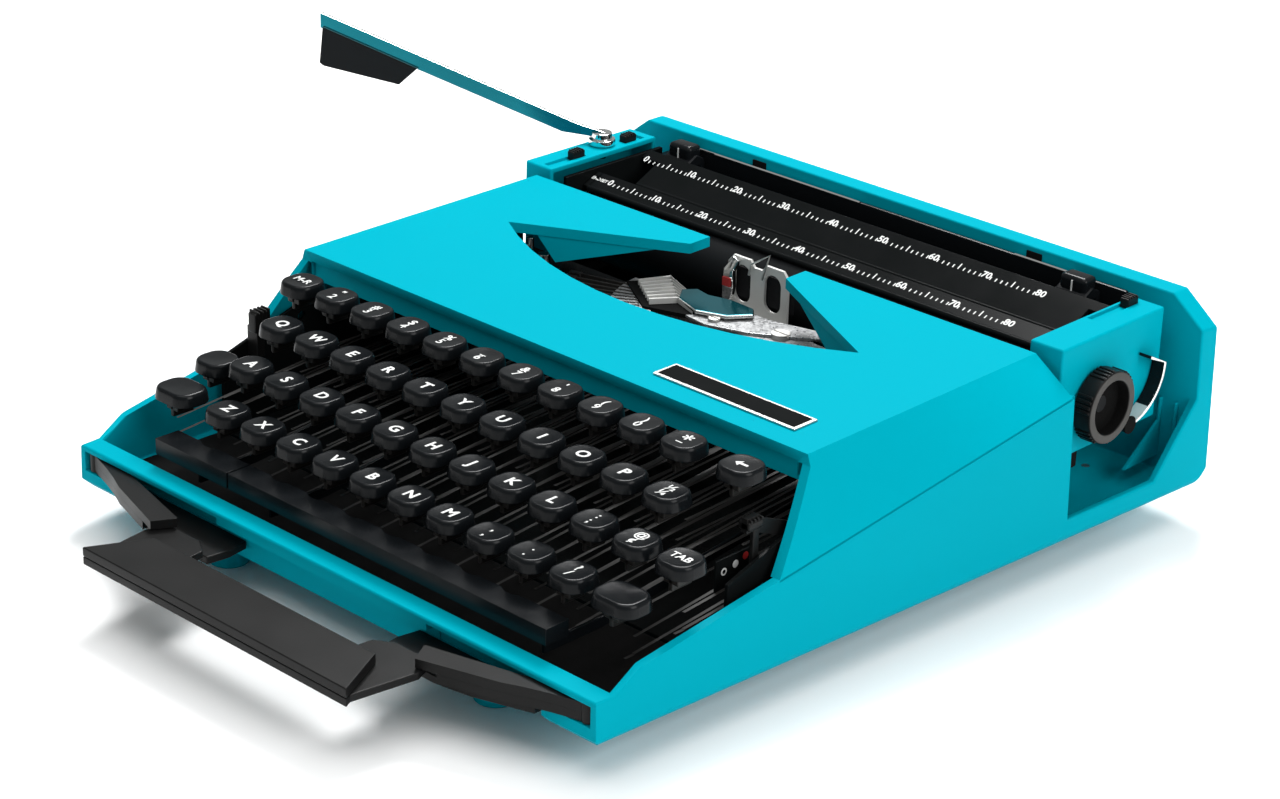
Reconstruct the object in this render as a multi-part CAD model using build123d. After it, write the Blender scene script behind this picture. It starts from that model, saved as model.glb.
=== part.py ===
"""Portable manual typewriter: shells, keyboard, type basket, carriage and carrying handle.

Units are millimetres. +X is the typist's right, +Y runs back from the typist, +Z is up.
The origin is on the table under the middle of the shell, at the plane of the feet.
"""
import os
from math import atan2, cos, radians, sin, tan

from build123d import *

# Shell
SHELL_DEPTH = 303.0
KEYBOARD_MARGIN = 15.7
SHELL_FLARE = 18.0
WALL_DRAFT = 0.035
SHELL_WALL = 3.0
FLOOR_THICKNESS = 3.0
FRONT_WALL = 8.0
REAR_WALL = 9.0
BOTTOM_CHAMFER = 7.0
BOTTOM_ROUND = 4.0
RECESS_DEPTH = 6.0
RECESS_TOP = 12.0
RECESS_END_GAP = 18.0
LIP_HEIGHT = 16.5
LIP_RISE_DEPTH = 18.0
SEAM_FRONT_HEIGHT = 22.5
SEAM_REAR_HEIGHT = 56.0
REAR_WALL_HEIGHT = 73.0
SHOULDER_DROP = 11.0
SHOULDER_WIDTH = 14.0
NOTCH_FLOOR_HEIGHT = 9.5
NOTCH_GAP = 1.5
NOTCH_LENGTH = 48.0
NOTCH_RAMP_HEIGHT = 26.0

# Feet and screws
FOOT_HEIGHT = 13.0
FOOT_RADIUS = 7.5
FOOT_FRONT_X = 68.0
FOOT_FRONT_INSET = 17.0
FOOT_REAR_X = 112.0
FOOT_REAR_INSET = 26.0
SCREW_RADIUS = 1.5
SCREW_HEAD_RADIUS = 3.6
SCREW_HEAD_HEIGHT = 1.8
SCREW_SLOT = 0.8
SCREW_CLEARANCE = 0.1

# Top cover
HOOD_FRONT = 101.0
HOOD_REAR = 222.0
HOOD_SIDE_LEAN = 6.0
HOOD_FRONT_HEIGHT = 66.8
HOOD_REAR_HEIGHT = 67.6
HOOD_WALL = 4.0
HOOD_SKIRT = 3.0
HOOD_LEAN = 22.0
HOOD_LIP = 9.0
OPENING_HALF_WIDTH = 87.5
OPENING_FRONT = 151.0
OPENING_TIP = 177.0
FLAP_GAP_HALF = 24.0
FLAP_NOSE = 211.0
OPENING_STEPS = 12

# Chassis and type basket
CHASSIS_SHEET = 1.5
CHASSIS_SIDE_GAP = 0.5
CHASSIS_FRONT = 62.0
CHASSIS_REAR = 216.0
CHASSIS_HEIGHT = 46.0
CHASSIS_FRONT_HEIGHT = 34.0
CHASSIS_TAIL = 268.0
CHASSIS_TAIL_HALF = 90.0
BRIDGE_DEPTH = 18.0
BRIDGE_THICKNESS = 3.0
TYPE_CENTRE_X = -6.0
TYPE_CENTRE_DEPTH = 214.0
SEGMENT_HEIGHT = 41.0
SEGMENT_THICKNESS = 6.0
SEGMENT_INNER = 34.0
SEGMENT_OUTER = 50.0
SEGMENT_SPREAD = 168.0
SEGMENT_BAR_MARGIN = 2.0
SEGMENT_SCREW_RADIUS_AT = 28.0
TYPEBAR_COUNT = 42
TYPEBAR_SPREAD = 150.0
TYPEBAR_THICKNESS = 0.9
TYPEBAR_DEPTH = 3.6
TYPEBAR_REACH = 69.0
TYPE_HEAD_LENGTH = 5.0
TYPE_HEAD_WIDTH = 2.6
TYPE_HEAD_HEIGHT = 5.6
SLOT_CLEARANCE = 0.2
VIBRATOR_WIDTH = 34.0
VIBRATOR_HEIGHT = 26.0
VIBRATOR_THICKNESS = 1.2
VIBRATOR_SLOT = 7.0
VIBRATOR_WINDOW_HEIGHT = 16.1
SPOOL_X = 95.0
SPOOL_DEPTH = 164.0
SPOOL_RADIUS = 17.5
SPOOL_HUB = 7.0
SPOOL_HEIGHT = 14.0
SPOOL_FLANGE = 1.0
SPOOL_POST = 2.5
SHELF_HEIGHT = 40.0
SHELF_HALF_DEPTH = 19.0
SHELF_INNER_X = 84.0

# Keyboard
KEY_PITCH = 19.05
KEYS_ACROSS = 12
CAP_SIZE = 15.0
CAP_CORNER = 5.6
CAP_HEIGHT = 8.0
CAP_TAPER = 5.0
DISH_RADIUS = 34.0
DISH_DEPTH = 0.8
ROW_DEPTHS = (83.3, 64.4, 46.2, 28.4)
ROW_HEIGHTS = (65.0, 56.5, 47.4, 38.1)
ROW_STAGGERS = (10.0, 20.6, 25.2, 33.7)
NUMBER_KEYS = 10
BOTTOM_ROW_KEYS = 10
SIGN_KEY_PLACES = ((1, 10), (2, 9), (2, 10), (3, 7), (3, 8), (3, 9))
LEVER_FEET = (29.0, 25.0, 21.0, 17.0)
LEVER_THICKNESS = 1.2
LEVER_DEPTH = 6.0
STEM_WIDTH = 4.0
STEM_SINK = 2.0
FULCRUM_DEPTH = 185.0
FULCRUM_HEIGHT = 34.0
FULCRUM_RADIUS = 2.0
LEVER_BOSS = 4.6
RUNNING_CLEARANCE = 0.05
SHIFT_CAP_WIDTH = 19.0
LEFT_SHIFT_INSET = 7.6
RIGHT_SHIFT_GAP = 21.35
LEFT_SHIFT_LEVER_OFFSET = 5.8
RIGHT_SHIFT_LEVER_OFFSET = 3.8
BACKSPACE_INSET = 2.8
TAB_OVERHANG = 6.15
SHIFT_BAIL_SETBACK = 17.0
SHIFT_BAIL_HEIGHT = 20.0
SHIFT_BAIL_RADIUS = 2.0
SPACE_BAR_OVERHANG = 4.2
SPACE_BAR_FRONT = 9.4
SPACE_BAR_DEPTH = 10.2
SPACE_BAR_TOP = 26.5
SPACE_BAR_HEIGHT = 6.0
POWER_BAR_WIDTH = 39.7
SPACE_BAR_GAP = 0.8
SCALLOP_DEPTH = 1.4
SPACE_ARM_DEPTH = 3.8
SPACE_ARM_DROP = 5.2
SPACE_STEM_WIDTH = 4.0
SPACE_ARM_KNEE = 38.0
SPACE_ARM_PLACES = (2, 9)
POWER_ARM_PLACE = 0

# Ribbon colour selector
SELECTOR_THICKNESS = 1.2
SELECTOR_PIVOT_DEPTH = 100.0
SELECTOR_PIVOT_HEIGHT = 40.0
SELECTOR_TIP_DEPTH = 76.0
SELECTOR_TIP_HEIGHT = 50.0
SELECTOR_ARM = 5.0
SELECTOR_BUTTON = 6.0
SELECTOR_PIN = 2.0

# Carriage
RAIL_HALF_LENGTH = 75.0
RAIL_WIDTH = 12.0
RAIL_HEAD = 4.0
RAIL_TOP = 21.0
RAIL_WEB = 4.0
SLIDE_CLEARANCE = 0.3
CHANNEL_WALL = 4.5
CHANNEL_LIP = 3.4
CHANNEL_LIP_THICKNESS = 3.6
CARRIAGE_INSET = 5.0
END_PLATE = 2.0
END_PLATE_FRONT = 232.0
END_PLATE_REAR = 288.0
END_PLATE_RISE = 5.0
PLATEN_DEPTH = 246.5
PLATEN_HEIGHT = 45.0
PLATEN_RADIUS = 15.0
PLATEN_END_GAP = 9.0
SHAFT_RADIUS = 3.0
COVER_FRONT = 225.0
COVER_REAR = 286.0
COVER_BOTTOM = 28.0
COVER_HEADROOM = 4.5
COVER_WIDTH = 14.5
COVER_WALL = 2.0
COVER_BORE = 4.5
KNOB_RADIUS = 13.5
KNOB_WIDTH = 7.5
KNOB_HOLLOW_RADIUS = 10.0
KNOB_HOLLOW_DEPTH = 5.0
KNOB_GAP = 0.5
MARGIN_BAR_DEPTH = 286.0
MARGIN_BAR_HEIGHT = 61.0
MARGIN_BAR_SIZE = 4.0
MARGIN_STOP_WIDTH = 14.0
MARGIN_STOP_WALL = 2.6
LEFT_STOP_INSET = 16.0
RIGHT_STOP_INSET = 24.0
TABLE_FRONT_GAP = 1.5
TABLE_REAR_GAP = 3.5
TABLE_FRONT_DROP = 4.0
TABLE_REAR_RISE = 4.5
TABLE_SHEET = 1.5
TABLE_END_GAP = 11.0
TABLE_LUG = 5.0
BAIL_PIVOT = (268.0, 50.0)
BAIL_STRIP_DEPTH = 245.5
BAIL_STRIP_GAP = 2.0
BAIL_STRIP_WIDTH = 9.5
BAIL_STRIP_THICKNESS = 1.4
BAIL_STRIP_LEAN = 22.0
BAIL_ARM_INSET = 6.0
BAIL_ARM_THICKNESS = 1.4
BAIL_ARM_DEPTH = 5.0
BAIL_PIN = 1.5
RELEASE_PIVOT = (262.0, 33.0)
RELEASE_WIDTH = 5.5
RELEASE_SHEET = 1.3
RELEASE_RADIUS = 19.0
RELEASE_HOOK = 10.0
RELEASE_BOSS = 3.2
RELEASE_PIN = 2.0

# Carriage return lever
LEVER_PIVOT_DEPTH = 262.0
LEVER_PIVOT_INSET = 6.5
LEVER_BOSS_RADIUS = 5.5
LEVER_BOSS_HEIGHT = 5.0
LEVER_PIN = 2.0
LEVER_PIN_LENGTH = 6.0
LEVER_SPAN = 124.0
LEVER_RISE = 35.0
LEVER_AZIMUTH = 25.5
LEVER_STRIP = 1.6
LEVER_STRIP_DEPTH = 8.0
PADDLE_LENGTH = 40.0
PADDLE_DEPTH = 15.0
PADDLE_THICKNESS = 4.0
LIFT_GAP = 0.3

# Carrying handle
HANDLE_TOP = 14.0
HANDLE_THICKNESS = 6.6
GRIP_FRONT_HALF = 67.0
GRIP_REAR_HALF = 55.0
GRIP_FRONT = 46.0
GRIP_DEPTH = 22.0
LINK_PIVOT_X = 124.0
LINK_PIVOT_INSET = 3.2
LINK_END_X = 63.0
LINK_END_REACH = 20.0
LINK_PIVOT_RADIUS = 2.8
LINK_END_RADIUS = 5.0
LINK_PIN = 1.4
LINK_REAR_ANGLE = 11.3
LINK_NOSE = 7.0
LINK_HOLLOW = 4.0
LINK_STEPS = 8
LINK_SLIDE_ROOM = 2.5
LAP_GAP = 0.4
ARM_HALF_WIDTH = 6.0
ARM_OVERRUN = 2.0
POCKET_GAP = 0.5

FRONT = -SHELL_DEPTH / 2
SHELL_BOTTOM = FOOT_HEIGHT
KEYBOARD_HALF = KEYS_ACROSS * KEY_PITCH / 2
FRONT_HALF_WIDTH = KEYBOARD_HALF + KEYBOARD_MARGIN
REAR_HALF_WIDTH = FRONT_HALF_WIDTH + SHELL_FLARE
NOTCH_FRONT = HOOD_REAR + NOTCH_GAP
SEAM_SLOPE = (SEAM_REAR_HEIGHT - SEAM_FRONT_HEIGHT) / (HOOD_REAR - LIP_RISE_DEPTH)
HOOD_HALF_WIDTH = FRONT_HALF_WIDTH - HOOD_SIDE_LEAN
CHASSIS_HALF_WIDTH = FRONT_HALF_WIDTH - SHELL_WALL - CHASSIS_SIDE_GAP
SELECTOR_X = CHASSIS_HALF_WIDTH - CHASSIS_SHEET - 2 * SELECTOR_THICKNESS
SHIFT_BAIL_DEPTH = FULCRUM_DEPTH - SHIFT_BAIL_SETBACK
END_PLATE_TOP = MARGIN_BAR_HEIGHT + END_PLATE_RISE
COVER_TOP = END_PLATE_TOP + COVER_HEADROOM
TABLE_FRONT = (PLATEN_DEPTH + PLATEN_RADIUS + TABLE_FRONT_GAP, MARGIN_BAR_HEIGHT - TABLE_FRONT_DROP)
TABLE_REAR = (
    MARGIN_BAR_DEPTH - MARGIN_BAR_SIZE / 2 - TABLE_REAR_GAP,
    MARGIN_BAR_HEIGHT + TABLE_REAR_RISE,
)
BAIL_STRIP_HEIGHT = PLATEN_HEIGHT + PLATEN_RADIUS + BAIL_STRIP_GAP
CARRIAGE_HALF = HOOD_HALF_WIDTH - CARRIAGE_INSET
COVER_OUTER = CARRIAGE_HALF + COVER_WIDTH
PLATEN_HALF_LENGTH = CARRIAGE_HALF - PLATEN_END_GAP
TABLE_HALF_WIDTH = CARRIAGE_HALF - TABLE_END_GAP
BAIL_ARM_X = CARRIAGE_HALF - BAIL_ARM_INSET


def deep(depth):
    """Y of a point at a depth behind the shell's front face."""
    return FRONT + depth


def high(height):
    """Z of a point at a height above the shell's underside."""
    return SHELL_BOTTOM + height


def flank(depth, height=0.0):
    """Half width of the shell's outside at a depth and height."""
    spread = (REAR_HALF_WIDTH - FRONT_HALF_WIDTH) * depth / SHELL_DEPTH
    return FRONT_HALF_WIDTH + spread - WALL_DRAFT * height


def seam(depth):
    """Height of the joint between the shell and the top cover at a depth."""
    return SEAM_FRONT_HEIGHT + SEAM_SLOPE * (depth - LIP_RISE_DEPTH)


def side_sketch(points):
    """Face in the side view from (depth, height) corners."""
    return Polygon(*[(deep(d), high(h)) for d, h in points], align=None)


def side_disc(depth, height, radius):
    """Round face in the side view."""
    return Pos(deep(depth), high(height)) * Circle(radius)


def across(sketch, x_start, x_end):
    """Side-view face swept along X."""
    return extrude(Plane.YZ.offset(x_start) * sketch, x_end - x_start, dir=(1, 0, 0))


def upright(points, height_low, height_high):
    """Plan-view polygon of (x, depth) corners swept along Z."""
    outline = Polygon(*[(x, deep(d)) for x, d in points], align=None)
    return extrude(Plane.XY.offset(high(height_low)) * outline, height_high - height_low, dir=(0, 0, 1))


def post(x, depth, height_low, height_high, radius):
    """Upright cylinder between two heights."""
    length = height_high - height_low
    middle = high(height_low + length / 2)
    return Pos(x, deep(depth), middle) * Cylinder(radius, length)


def block(x_low, x_high, depth_low, depth_high, height_low, height_high):
    """Box between two corners."""
    size = Box(x_high - x_low, depth_high - depth_low, height_high - height_low)
    centre = Pos(
        (x_low + x_high) / 2,
        deep((depth_low + depth_high) / 2),
        high((height_low + height_high) / 2),
    )
    return centre * size


def pin_x(x_low, x_high, depth, height, radius):
    """Cylinder along X."""
    return across(side_disc(depth, height, radius), x_low, x_high)


def mirrored(solid):
    """Copy of a solid on the other side of the middle plane."""
    return mirror(solid, about=Plane.YZ)


def flared_block(inset_side, depth_front, depth_rear, height_low, height_high):
    """Block with the shell's flared plan and drafted sides."""
    faces = []
    for height in (height_low, height_high):
        front = flank(depth_front, height) - inset_side
        rear = flank(depth_rear, height) - inset_side
        corners = ((-front, depth_front), (front, depth_front), (rear, depth_rear), (-rear, depth_rear))
        outline = Polygon(*[(x, deep(d)) for x, d in corners], align=None)
        faces.append(Plane.XY.offset(high(height)) * outline)
    return loft(faces, ruled=True)


def link_outline(side):
    """Plan outline of one handle link: straight behind, hollowed in front."""
    pivot = (LINK_PIVOT_X, LINK_PIVOT_INSET)
    turn = radians(LINK_REAR_ANGLE)
    length = LINK_PIVOT_X - LINK_END_X
    rear = (pivot[0] - length, pivot[1] - length * tan(turn))
    nose = (LINK_END_X + LINK_END_RADIUS / 2, -LINK_END_REACH - LINK_NOSE)
    heel = (pivot[0] + LINK_PIVOT_RADIUS, pivot[1] - LINK_PIVOT_RADIUS / 2)
    points = [
        (pivot[0] + LINK_PIVOT_RADIUS / 2, pivot[1] + LINK_PIVOT_RADIUS * cos(turn)),
        (pivot[0] - LINK_PIVOT_RADIUS / 2, pivot[1] + LINK_PIVOT_RADIUS * cos(turn)),
        rear,
        (LINK_END_X - LINK_END_RADIUS, -LINK_END_REACH + LINK_END_RADIUS),
        (LINK_END_X - LINK_END_RADIUS, -LINK_END_REACH - LINK_END_RADIUS / 2),
    ]
    for step in range(LINK_STEPS + 1):
        share = step / LINK_STEPS
        hollow = 4 * LINK_HOLLOW * share * (1 - share)
        points.append(
            (
                nose[0] + (heel[0] - nose[0]) * share,
                nose[1] + (heel[1] - nose[1]) * share + hollow,
            )
        )
    return Polygon(*[(side * x, deep(d)) for x, d in points], align=None)


def is_lengthwise(edge):
    """Whether an edge runs mainly from front to rear."""
    run = edge @ 1 - edge @ 0
    return abs(run.Y) > abs(run.X)


def make_lower_shell():
    """Tray with flared sides, side notches for the carriage and a tall rear wall."""
    profile = side_sketch(
        (
            (0, FLOOR_THICKNESS),
            (FLOOR_THICKNESS, 0),
            (SHELL_DEPTH - BOTTOM_CHAMFER, 0),
            (SHELL_DEPTH, BOTTOM_CHAMFER),
            (SHELL_DEPTH, REAR_WALL_HEIGHT),
            (SHELL_DEPTH - REAR_WALL, REAR_WALL_HEIGHT),
            (SHELL_DEPTH - REAR_WALL, NOTCH_FLOOR_HEIGHT + NOTCH_RAMP_HEIGHT),
            (NOTCH_FRONT + NOTCH_LENGTH, NOTCH_FLOOR_HEIGHT),
            (NOTCH_FRONT, NOTCH_FLOOR_HEIGHT),
            (NOTCH_FRONT, seam(NOTCH_FRONT)),
            (LIP_RISE_DEPTH, SEAM_FRONT_HEIGHT),
            (FRONT_WALL, LIP_HEIGHT),
            (0, LIP_HEIGHT),
        )
    )
    shell = flared_block(0, 0, SHELL_DEPTH, 0, REAR_WALL_HEIGHT)
    shell = fillet(shell.faces().sort_by(Axis.Z)[0].edges().filter_by(is_lengthwise), BOTTOM_ROUND)
    shell &= across(profile, -REAR_HALF_WIDTH, REAR_HALF_WIDTH)
    shell -= flared_block(
        SHELL_WALL, FRONT_WALL, SHELL_DEPTH - REAR_WALL, FLOOR_THICKNESS, REAR_WALL_HEIGHT + SHELL_WALL
    )
    top_half = flank(SHELL_DEPTH, REAR_WALL_HEIGHT) - SHOULDER_WIDTH
    for side in (-1, 1):
        wedge = Polygon(
            (side * top_half, high(REAR_WALL_HEIGHT)),
            (side * (top_half + 2 * SHOULDER_WIDTH), high(REAR_WALL_HEIGHT)),
            (side * (top_half + 2 * SHOULDER_WIDTH), high(REAR_WALL_HEIGHT - 2 * SHOULDER_DROP)),
            align=None,
        )
        shell -= extrude(Plane.XZ.offset(-deep(NOTCH_FRONT)) * wedge, SHELL_DEPTH, dir=(0, 1, 0))
        pocket_half = LINK_PIVOT_RADIUS + POCKET_GAP
        pocket_inner = LINK_END_X - 2 * LINK_END_RADIUS
        pocket_ends = sorted((side * pocket_inner, side * (LINK_PIVOT_X + pocket_half)))
        shell -= block(
            pocket_ends[0],
            pocket_ends[1],
            -FRONT_WALL,
            LINK_PIVOT_INSET + pocket_half,
            HANDLE_TOP - HANDLE_THICKNESS - POCKET_GAP,
            HANDLE_TOP + POCKET_GAP,
        )
        shell += post(
            side * LINK_PIVOT_X,
            LINK_PIVOT_INSET,
            HANDLE_TOP - HANDLE_THICKNESS - POCKET_GAP,
            HANDLE_TOP + POCKET_GAP,
            LINK_PIN,
        )
    recess_half = LINK_PIVOT_X - RECESS_END_GAP
    shell -= block(-recess_half, recess_half, -FRONT_WALL, RECESS_DEPTH, -FLOOR_THICKNESS, RECESS_TOP)
    for x, depth in foot_places():
        shell -= post(x, depth, 0, FLOOR_THICKNESS, SCREW_RADIUS + SCREW_CLEARANCE)
    return shell


def foot_places():
    """Plan places of the four feet."""
    rear = SHELL_DEPTH - FOOT_REAR_INSET
    return (
        (-FOOT_FRONT_X, FOOT_FRONT_INSET),
        (FOOT_FRONT_X, FOOT_FRONT_INSET),
        (-FOOT_REAR_X, rear),
        (FOOT_REAR_X, rear),
    )


def make_feet():
    """Four stub feet under the shell, each with a screw well."""
    feet = []
    for x, depth in foot_places():
        foot = post(x, depth, -FOOT_HEIGHT, 0, FOOT_RADIUS)
        foot -= post(x, depth, -FOOT_HEIGHT, 0, SCREW_RADIUS + SCREW_CLEARANCE)
        well_top = SCREW_HEAD_HEIGHT - FOOT_HEIGHT / 2
        foot -= post(x, depth, -FOOT_HEIGHT, well_top, SCREW_HEAD_RADIUS + SCREW_CLEARANCE)
        feet.append(foot)
    return feet


def make_screw(x, depth, head_height, length, head_up=True):
    """Slotted screw with the underside of its head at a height."""
    direction = 1 if head_up else -1
    ends = sorted((head_height, head_height + direction * SCREW_HEAD_HEIGHT))
    screw = post(x, depth, ends[0], ends[1], SCREW_HEAD_RADIUS)
    shank = sorted((head_height, head_height - direction * length))
    screw += post(x, depth, shank[0], shank[1], SCREW_RADIUS)
    slot_floor = head_height + direction * SCREW_HEAD_HEIGHT / 2
    slot = sorted((slot_floor, slot_floor + direction * SCREW_HEAD_HEIGHT))
    half = SCREW_SLOT / 2
    screw -= block(
        x - SCREW_HEAD_RADIUS, x + SCREW_HEAD_RADIUS, depth - half, depth + half, slot[0], slot[1]
    )
    return screw


def segment_screw_places():
    """Plan places of the two screws that hold the type segment."""
    depth = TYPE_CENTRE_DEPTH - BRIDGE_DEPTH / 2
    return (
        (TYPE_CENTRE_X - SEGMENT_SCREW_RADIUS_AT, depth),
        (TYPE_CENTRE_X + SEGMENT_SCREW_RADIUS_AT, depth),
    )


def make_screws():
    """Foot screws and type segment screws."""
    head = SCREW_HEAD_HEIGHT - FOOT_HEIGHT / 2
    screws = [
        make_screw(x, depth, head, FLOOR_THICKNESS - head, head_up=False) for x, depth in foot_places()
    ]
    top = SEGMENT_HEIGHT + SEGMENT_THICKNESS
    for x, depth in segment_screw_places():
        screws.append(make_screw(x, depth, top, SEGMENT_THICKNESS + BRIDGE_THICKNESS))
    return screws


def hood_section(depth, inset, drop, skirt_inset):
    """Cross-section of the top cover at a depth, moved in from its outside."""
    slope = (HOOD_REAR_HEIGHT - HOOD_FRONT_HEIGHT) / (HOOD_REAR - HOOD_FRONT)
    top = HOOD_FRONT_HEIGHT + slope * (depth - HOOD_FRONT) - drop
    foot = seam(depth)
    half = flank(depth, foot) - skirt_inset
    corners = (
        (-half, high(foot - drop)),
        (half, high(foot - drop)),
        (HOOD_HALF_WIDTH - inset, high(top)),
        (-HOOD_HALF_WIDTH + inset, high(top)),
    )
    return Plane.XZ.offset(-deep(depth)) * Polygon(*corners, align=None)


def make_top_cover():
    """Hood with sloping flanks, an eye-shaped type opening and two flaps."""
    start = HOOD_FRONT - 2 * HOOD_LEAN
    cover = loft([hood_section(start, 0, 0, 0), hood_section(HOOD_REAR, 0, 0, 0)], ruled=True)
    hollow = loft(
        [
            hood_section(start, HOOD_WALL / 2, HOOD_WALL, HOOD_SKIRT),
            hood_section(HOOD_REAR, HOOD_WALL / 2, HOOD_WALL, HOOD_SKIRT),
        ],
        ruled=True,
    )
    cover -= hollow
    foot_depth = HOOD_FRONT - HOOD_LEAN
    front_cut = side_sketch(
        (
            (HOOD_FRONT, HOOD_FRONT_HEIGHT + HOOD_WALL),
            (HOOD_FRONT, HOOD_FRONT_HEIGHT - HOOD_WALL),
            (foot_depth, seam(foot_depth)),
            (foot_depth, 0),
            (start - HOOD_LEAN, 0),
            (start - HOOD_LEAN, HOOD_FRONT_HEIGHT + HOOD_WALL),
        )
    )
    cover -= across(front_cut, -REAR_HALF_WIDTH, REAR_HALF_WIDTH)
    lip_half = HOOD_HALF_WIDTH - HOOD_WALL
    cover += block(
        -lip_half,
        lip_half,
        HOOD_FRONT,
        HOOD_FRONT + HOOD_WALL / 2,
        HOOD_FRONT_HEIGHT - HOOD_LIP,
        HOOD_FRONT_HEIGHT - HOOD_WALL / 2,
    )
    cover -= upright(opening_outline(), SEAM_REAR_HEIGHT, HOOD_REAR_HEIGHT + HOOD_WALL)
    return cover


def opening_outline():
    """Plan corners of the type opening, its front edge an even arc."""
    sag = OPENING_TIP - OPENING_FRONT
    radius = (OPENING_HALF_WIDTH**2 + sag**2) / (2 * sag)
    half_angle = atan2(OPENING_HALF_WIDTH, radius - sag)
    points = []
    for step in range(OPENING_STEPS + 1):
        angle = -half_angle + 2 * half_angle * step / OPENING_STEPS
        points.append(
            (
                TYPE_CENTRE_X + radius * sin(angle),
                OPENING_FRONT + radius * (1 - cos(angle)),
            )
        )
    beyond = HOOD_REAR + HOOD_WALL
    points += [
        (TYPE_CENTRE_X + FLAP_GAP_HALF, FLAP_NOSE),
        (TYPE_CENTRE_X + FLAP_GAP_HALF, beyond),
        (TYPE_CENTRE_X - FLAP_GAP_HALF, beyond),
        (TYPE_CENTRE_X - FLAP_GAP_HALF, FLAP_NOSE),
    ]
    return points


def make_chassis_frame():
    """Pressed steel frame: floor plate, side plates, segment bridge and spool shelves."""
    floor_top = FLOOR_THICKNESS + CHASSIS_SHEET
    half = CHASSIS_HALF_WIDTH
    frame = block(-half, half, CHASSIS_FRONT, CHASSIS_REAR, FLOOR_THICKNESS, floor_top)
    frame += block(
        -CHASSIS_TAIL_HALF, CHASSIS_TAIL_HALF, CHASSIS_REAR, CHASSIS_TAIL, FLOOR_THICKNESS, floor_top
    )
    side = side_sketch(
        (
            (CHASSIS_FRONT, FLOOR_THICKNESS),
            (CHASSIS_REAR, FLOOR_THICKNESS),
            (CHASSIS_REAR, CHASSIS_HEIGHT),
            (HOOD_FRONT, CHASSIS_HEIGHT),
            (CHASSIS_FRONT, CHASSIS_FRONT_HEIGHT),
        )
    )
    side -= side_disc(FULCRUM_DEPTH, FULCRUM_HEIGHT, FULCRUM_RADIUS)
    side -= side_disc(SELECTOR_PIVOT_DEPTH, SELECTOR_PIVOT_HEIGHT, SELECTOR_PIN + RUNNING_CLEARANCE)
    for x in (-half, half - CHASSIS_SHEET):
        frame += across(side, x, x + CHASSIS_SHEET)
    bridge = block(
        -half,
        half,
        TYPE_CENTRE_DEPTH - BRIDGE_DEPTH,
        TYPE_CENTRE_DEPTH,
        SEGMENT_HEIGHT - BRIDGE_THICKNESS,
        SEGMENT_HEIGHT,
    )
    for x, depth in segment_screw_places():
        bridge -= post(
            x, depth, SEGMENT_HEIGHT - BRIDGE_THICKNESS, SEGMENT_HEIGHT, SCREW_RADIUS + SCREW_CLEARANCE
        )
    frame += bridge
    for x_low, x_high in ((-half, -SHELF_INNER_X), (SHELF_INNER_X, half)):
        frame += block(
            x_low,
            x_high,
            SPOOL_DEPTH - SHELF_HALF_DEPTH,
            SPOOL_DEPTH + SHELF_HALF_DEPTH,
            SHELF_HEIGHT,
            SHELF_HEIGHT + CHASSIS_SHEET,
        )
    spool_base = SHELF_HEIGHT + CHASSIS_SHEET
    for x in (-SPOOL_X, SPOOL_X):
        frame += post(x, SPOOL_DEPTH, SHELF_HEIGHT, spool_base + SPOOL_HEIGHT, SPOOL_POST)
    return frame


def make_key_fulcrum_rod():
    """Rod that all key levers turn on."""
    return pin_x(-CHASSIS_HALF_WIDTH, CHASSIS_HALF_WIDTH, FULCRUM_DEPTH, FULCRUM_HEIGHT, FULCRUM_RADIUS)


def typebar_angles():
    """Directions of the type bars, in degrees from straight forward."""
    step = TYPEBAR_SPREAD / (TYPEBAR_COUNT - 1)
    return [-TYPEBAR_SPREAD / 2 + step * index for index in range(TYPEBAR_COUNT)]


def basket_place(angle):
    """Turn about the type centre that faces a bar's direction."""
    return Pos(TYPE_CENTRE_X, deep(TYPE_CENTRE_DEPTH), high(SEGMENT_HEIGHT)) * Rot(0, 0, angle)


def make_type_segment():
    """Slotted half ring that guides the type bars, with a bar across its back."""
    ring = Circle(SEGMENT_OUTER) - Circle(SEGMENT_INNER)
    reach = 2 * SEGMENT_OUTER
    spread = radians(SEGMENT_SPREAD / 2)
    wedge = Polygon(
        (0, 0),
        (-reach * sin(spread), -reach * cos(spread)),
        (-reach, -reach),
        (reach, -reach),
        (reach * sin(spread), -reach * cos(spread)),
        align=None,
    )
    bar_width = 2 * (SEGMENT_INNER + SEGMENT_BAR_MARGIN)
    plate = (ring & wedge) + Pos(0, -BRIDGE_DEPTH / 2) * Rectangle(bar_width, BRIDGE_DEPTH)
    base = Plane((TYPE_CENTRE_X, deep(TYPE_CENTRE_DEPTH), high(SEGMENT_HEIGHT)))
    segment = extrude(base * plate, SEGMENT_THICKNESS)
    slot_width = TYPEBAR_THICKNESS + 2 * SLOT_CLEARANCE
    slot_length = SEGMENT_OUTER - SEGMENT_INNER
    slot_middle = (SEGMENT_OUTER + SEGMENT_INNER) / 2 + slot_length / 4
    slot = Pos(0, -slot_middle, SEGMENT_THICKNESS) * Box(slot_width, slot_length, 2 * TYPEBAR_DEPTH)
    segment -= [basket_place(angle) * slot for angle in typebar_angles()]
    for x, depth in segment_screw_places():
        segment -= post(
            x,
            depth,
            SEGMENT_HEIGHT,
            SEGMENT_HEIGHT + SEGMENT_THICKNESS,
            SCREW_RADIUS + SCREW_CLEARANCE,
        )
    return segment


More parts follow.
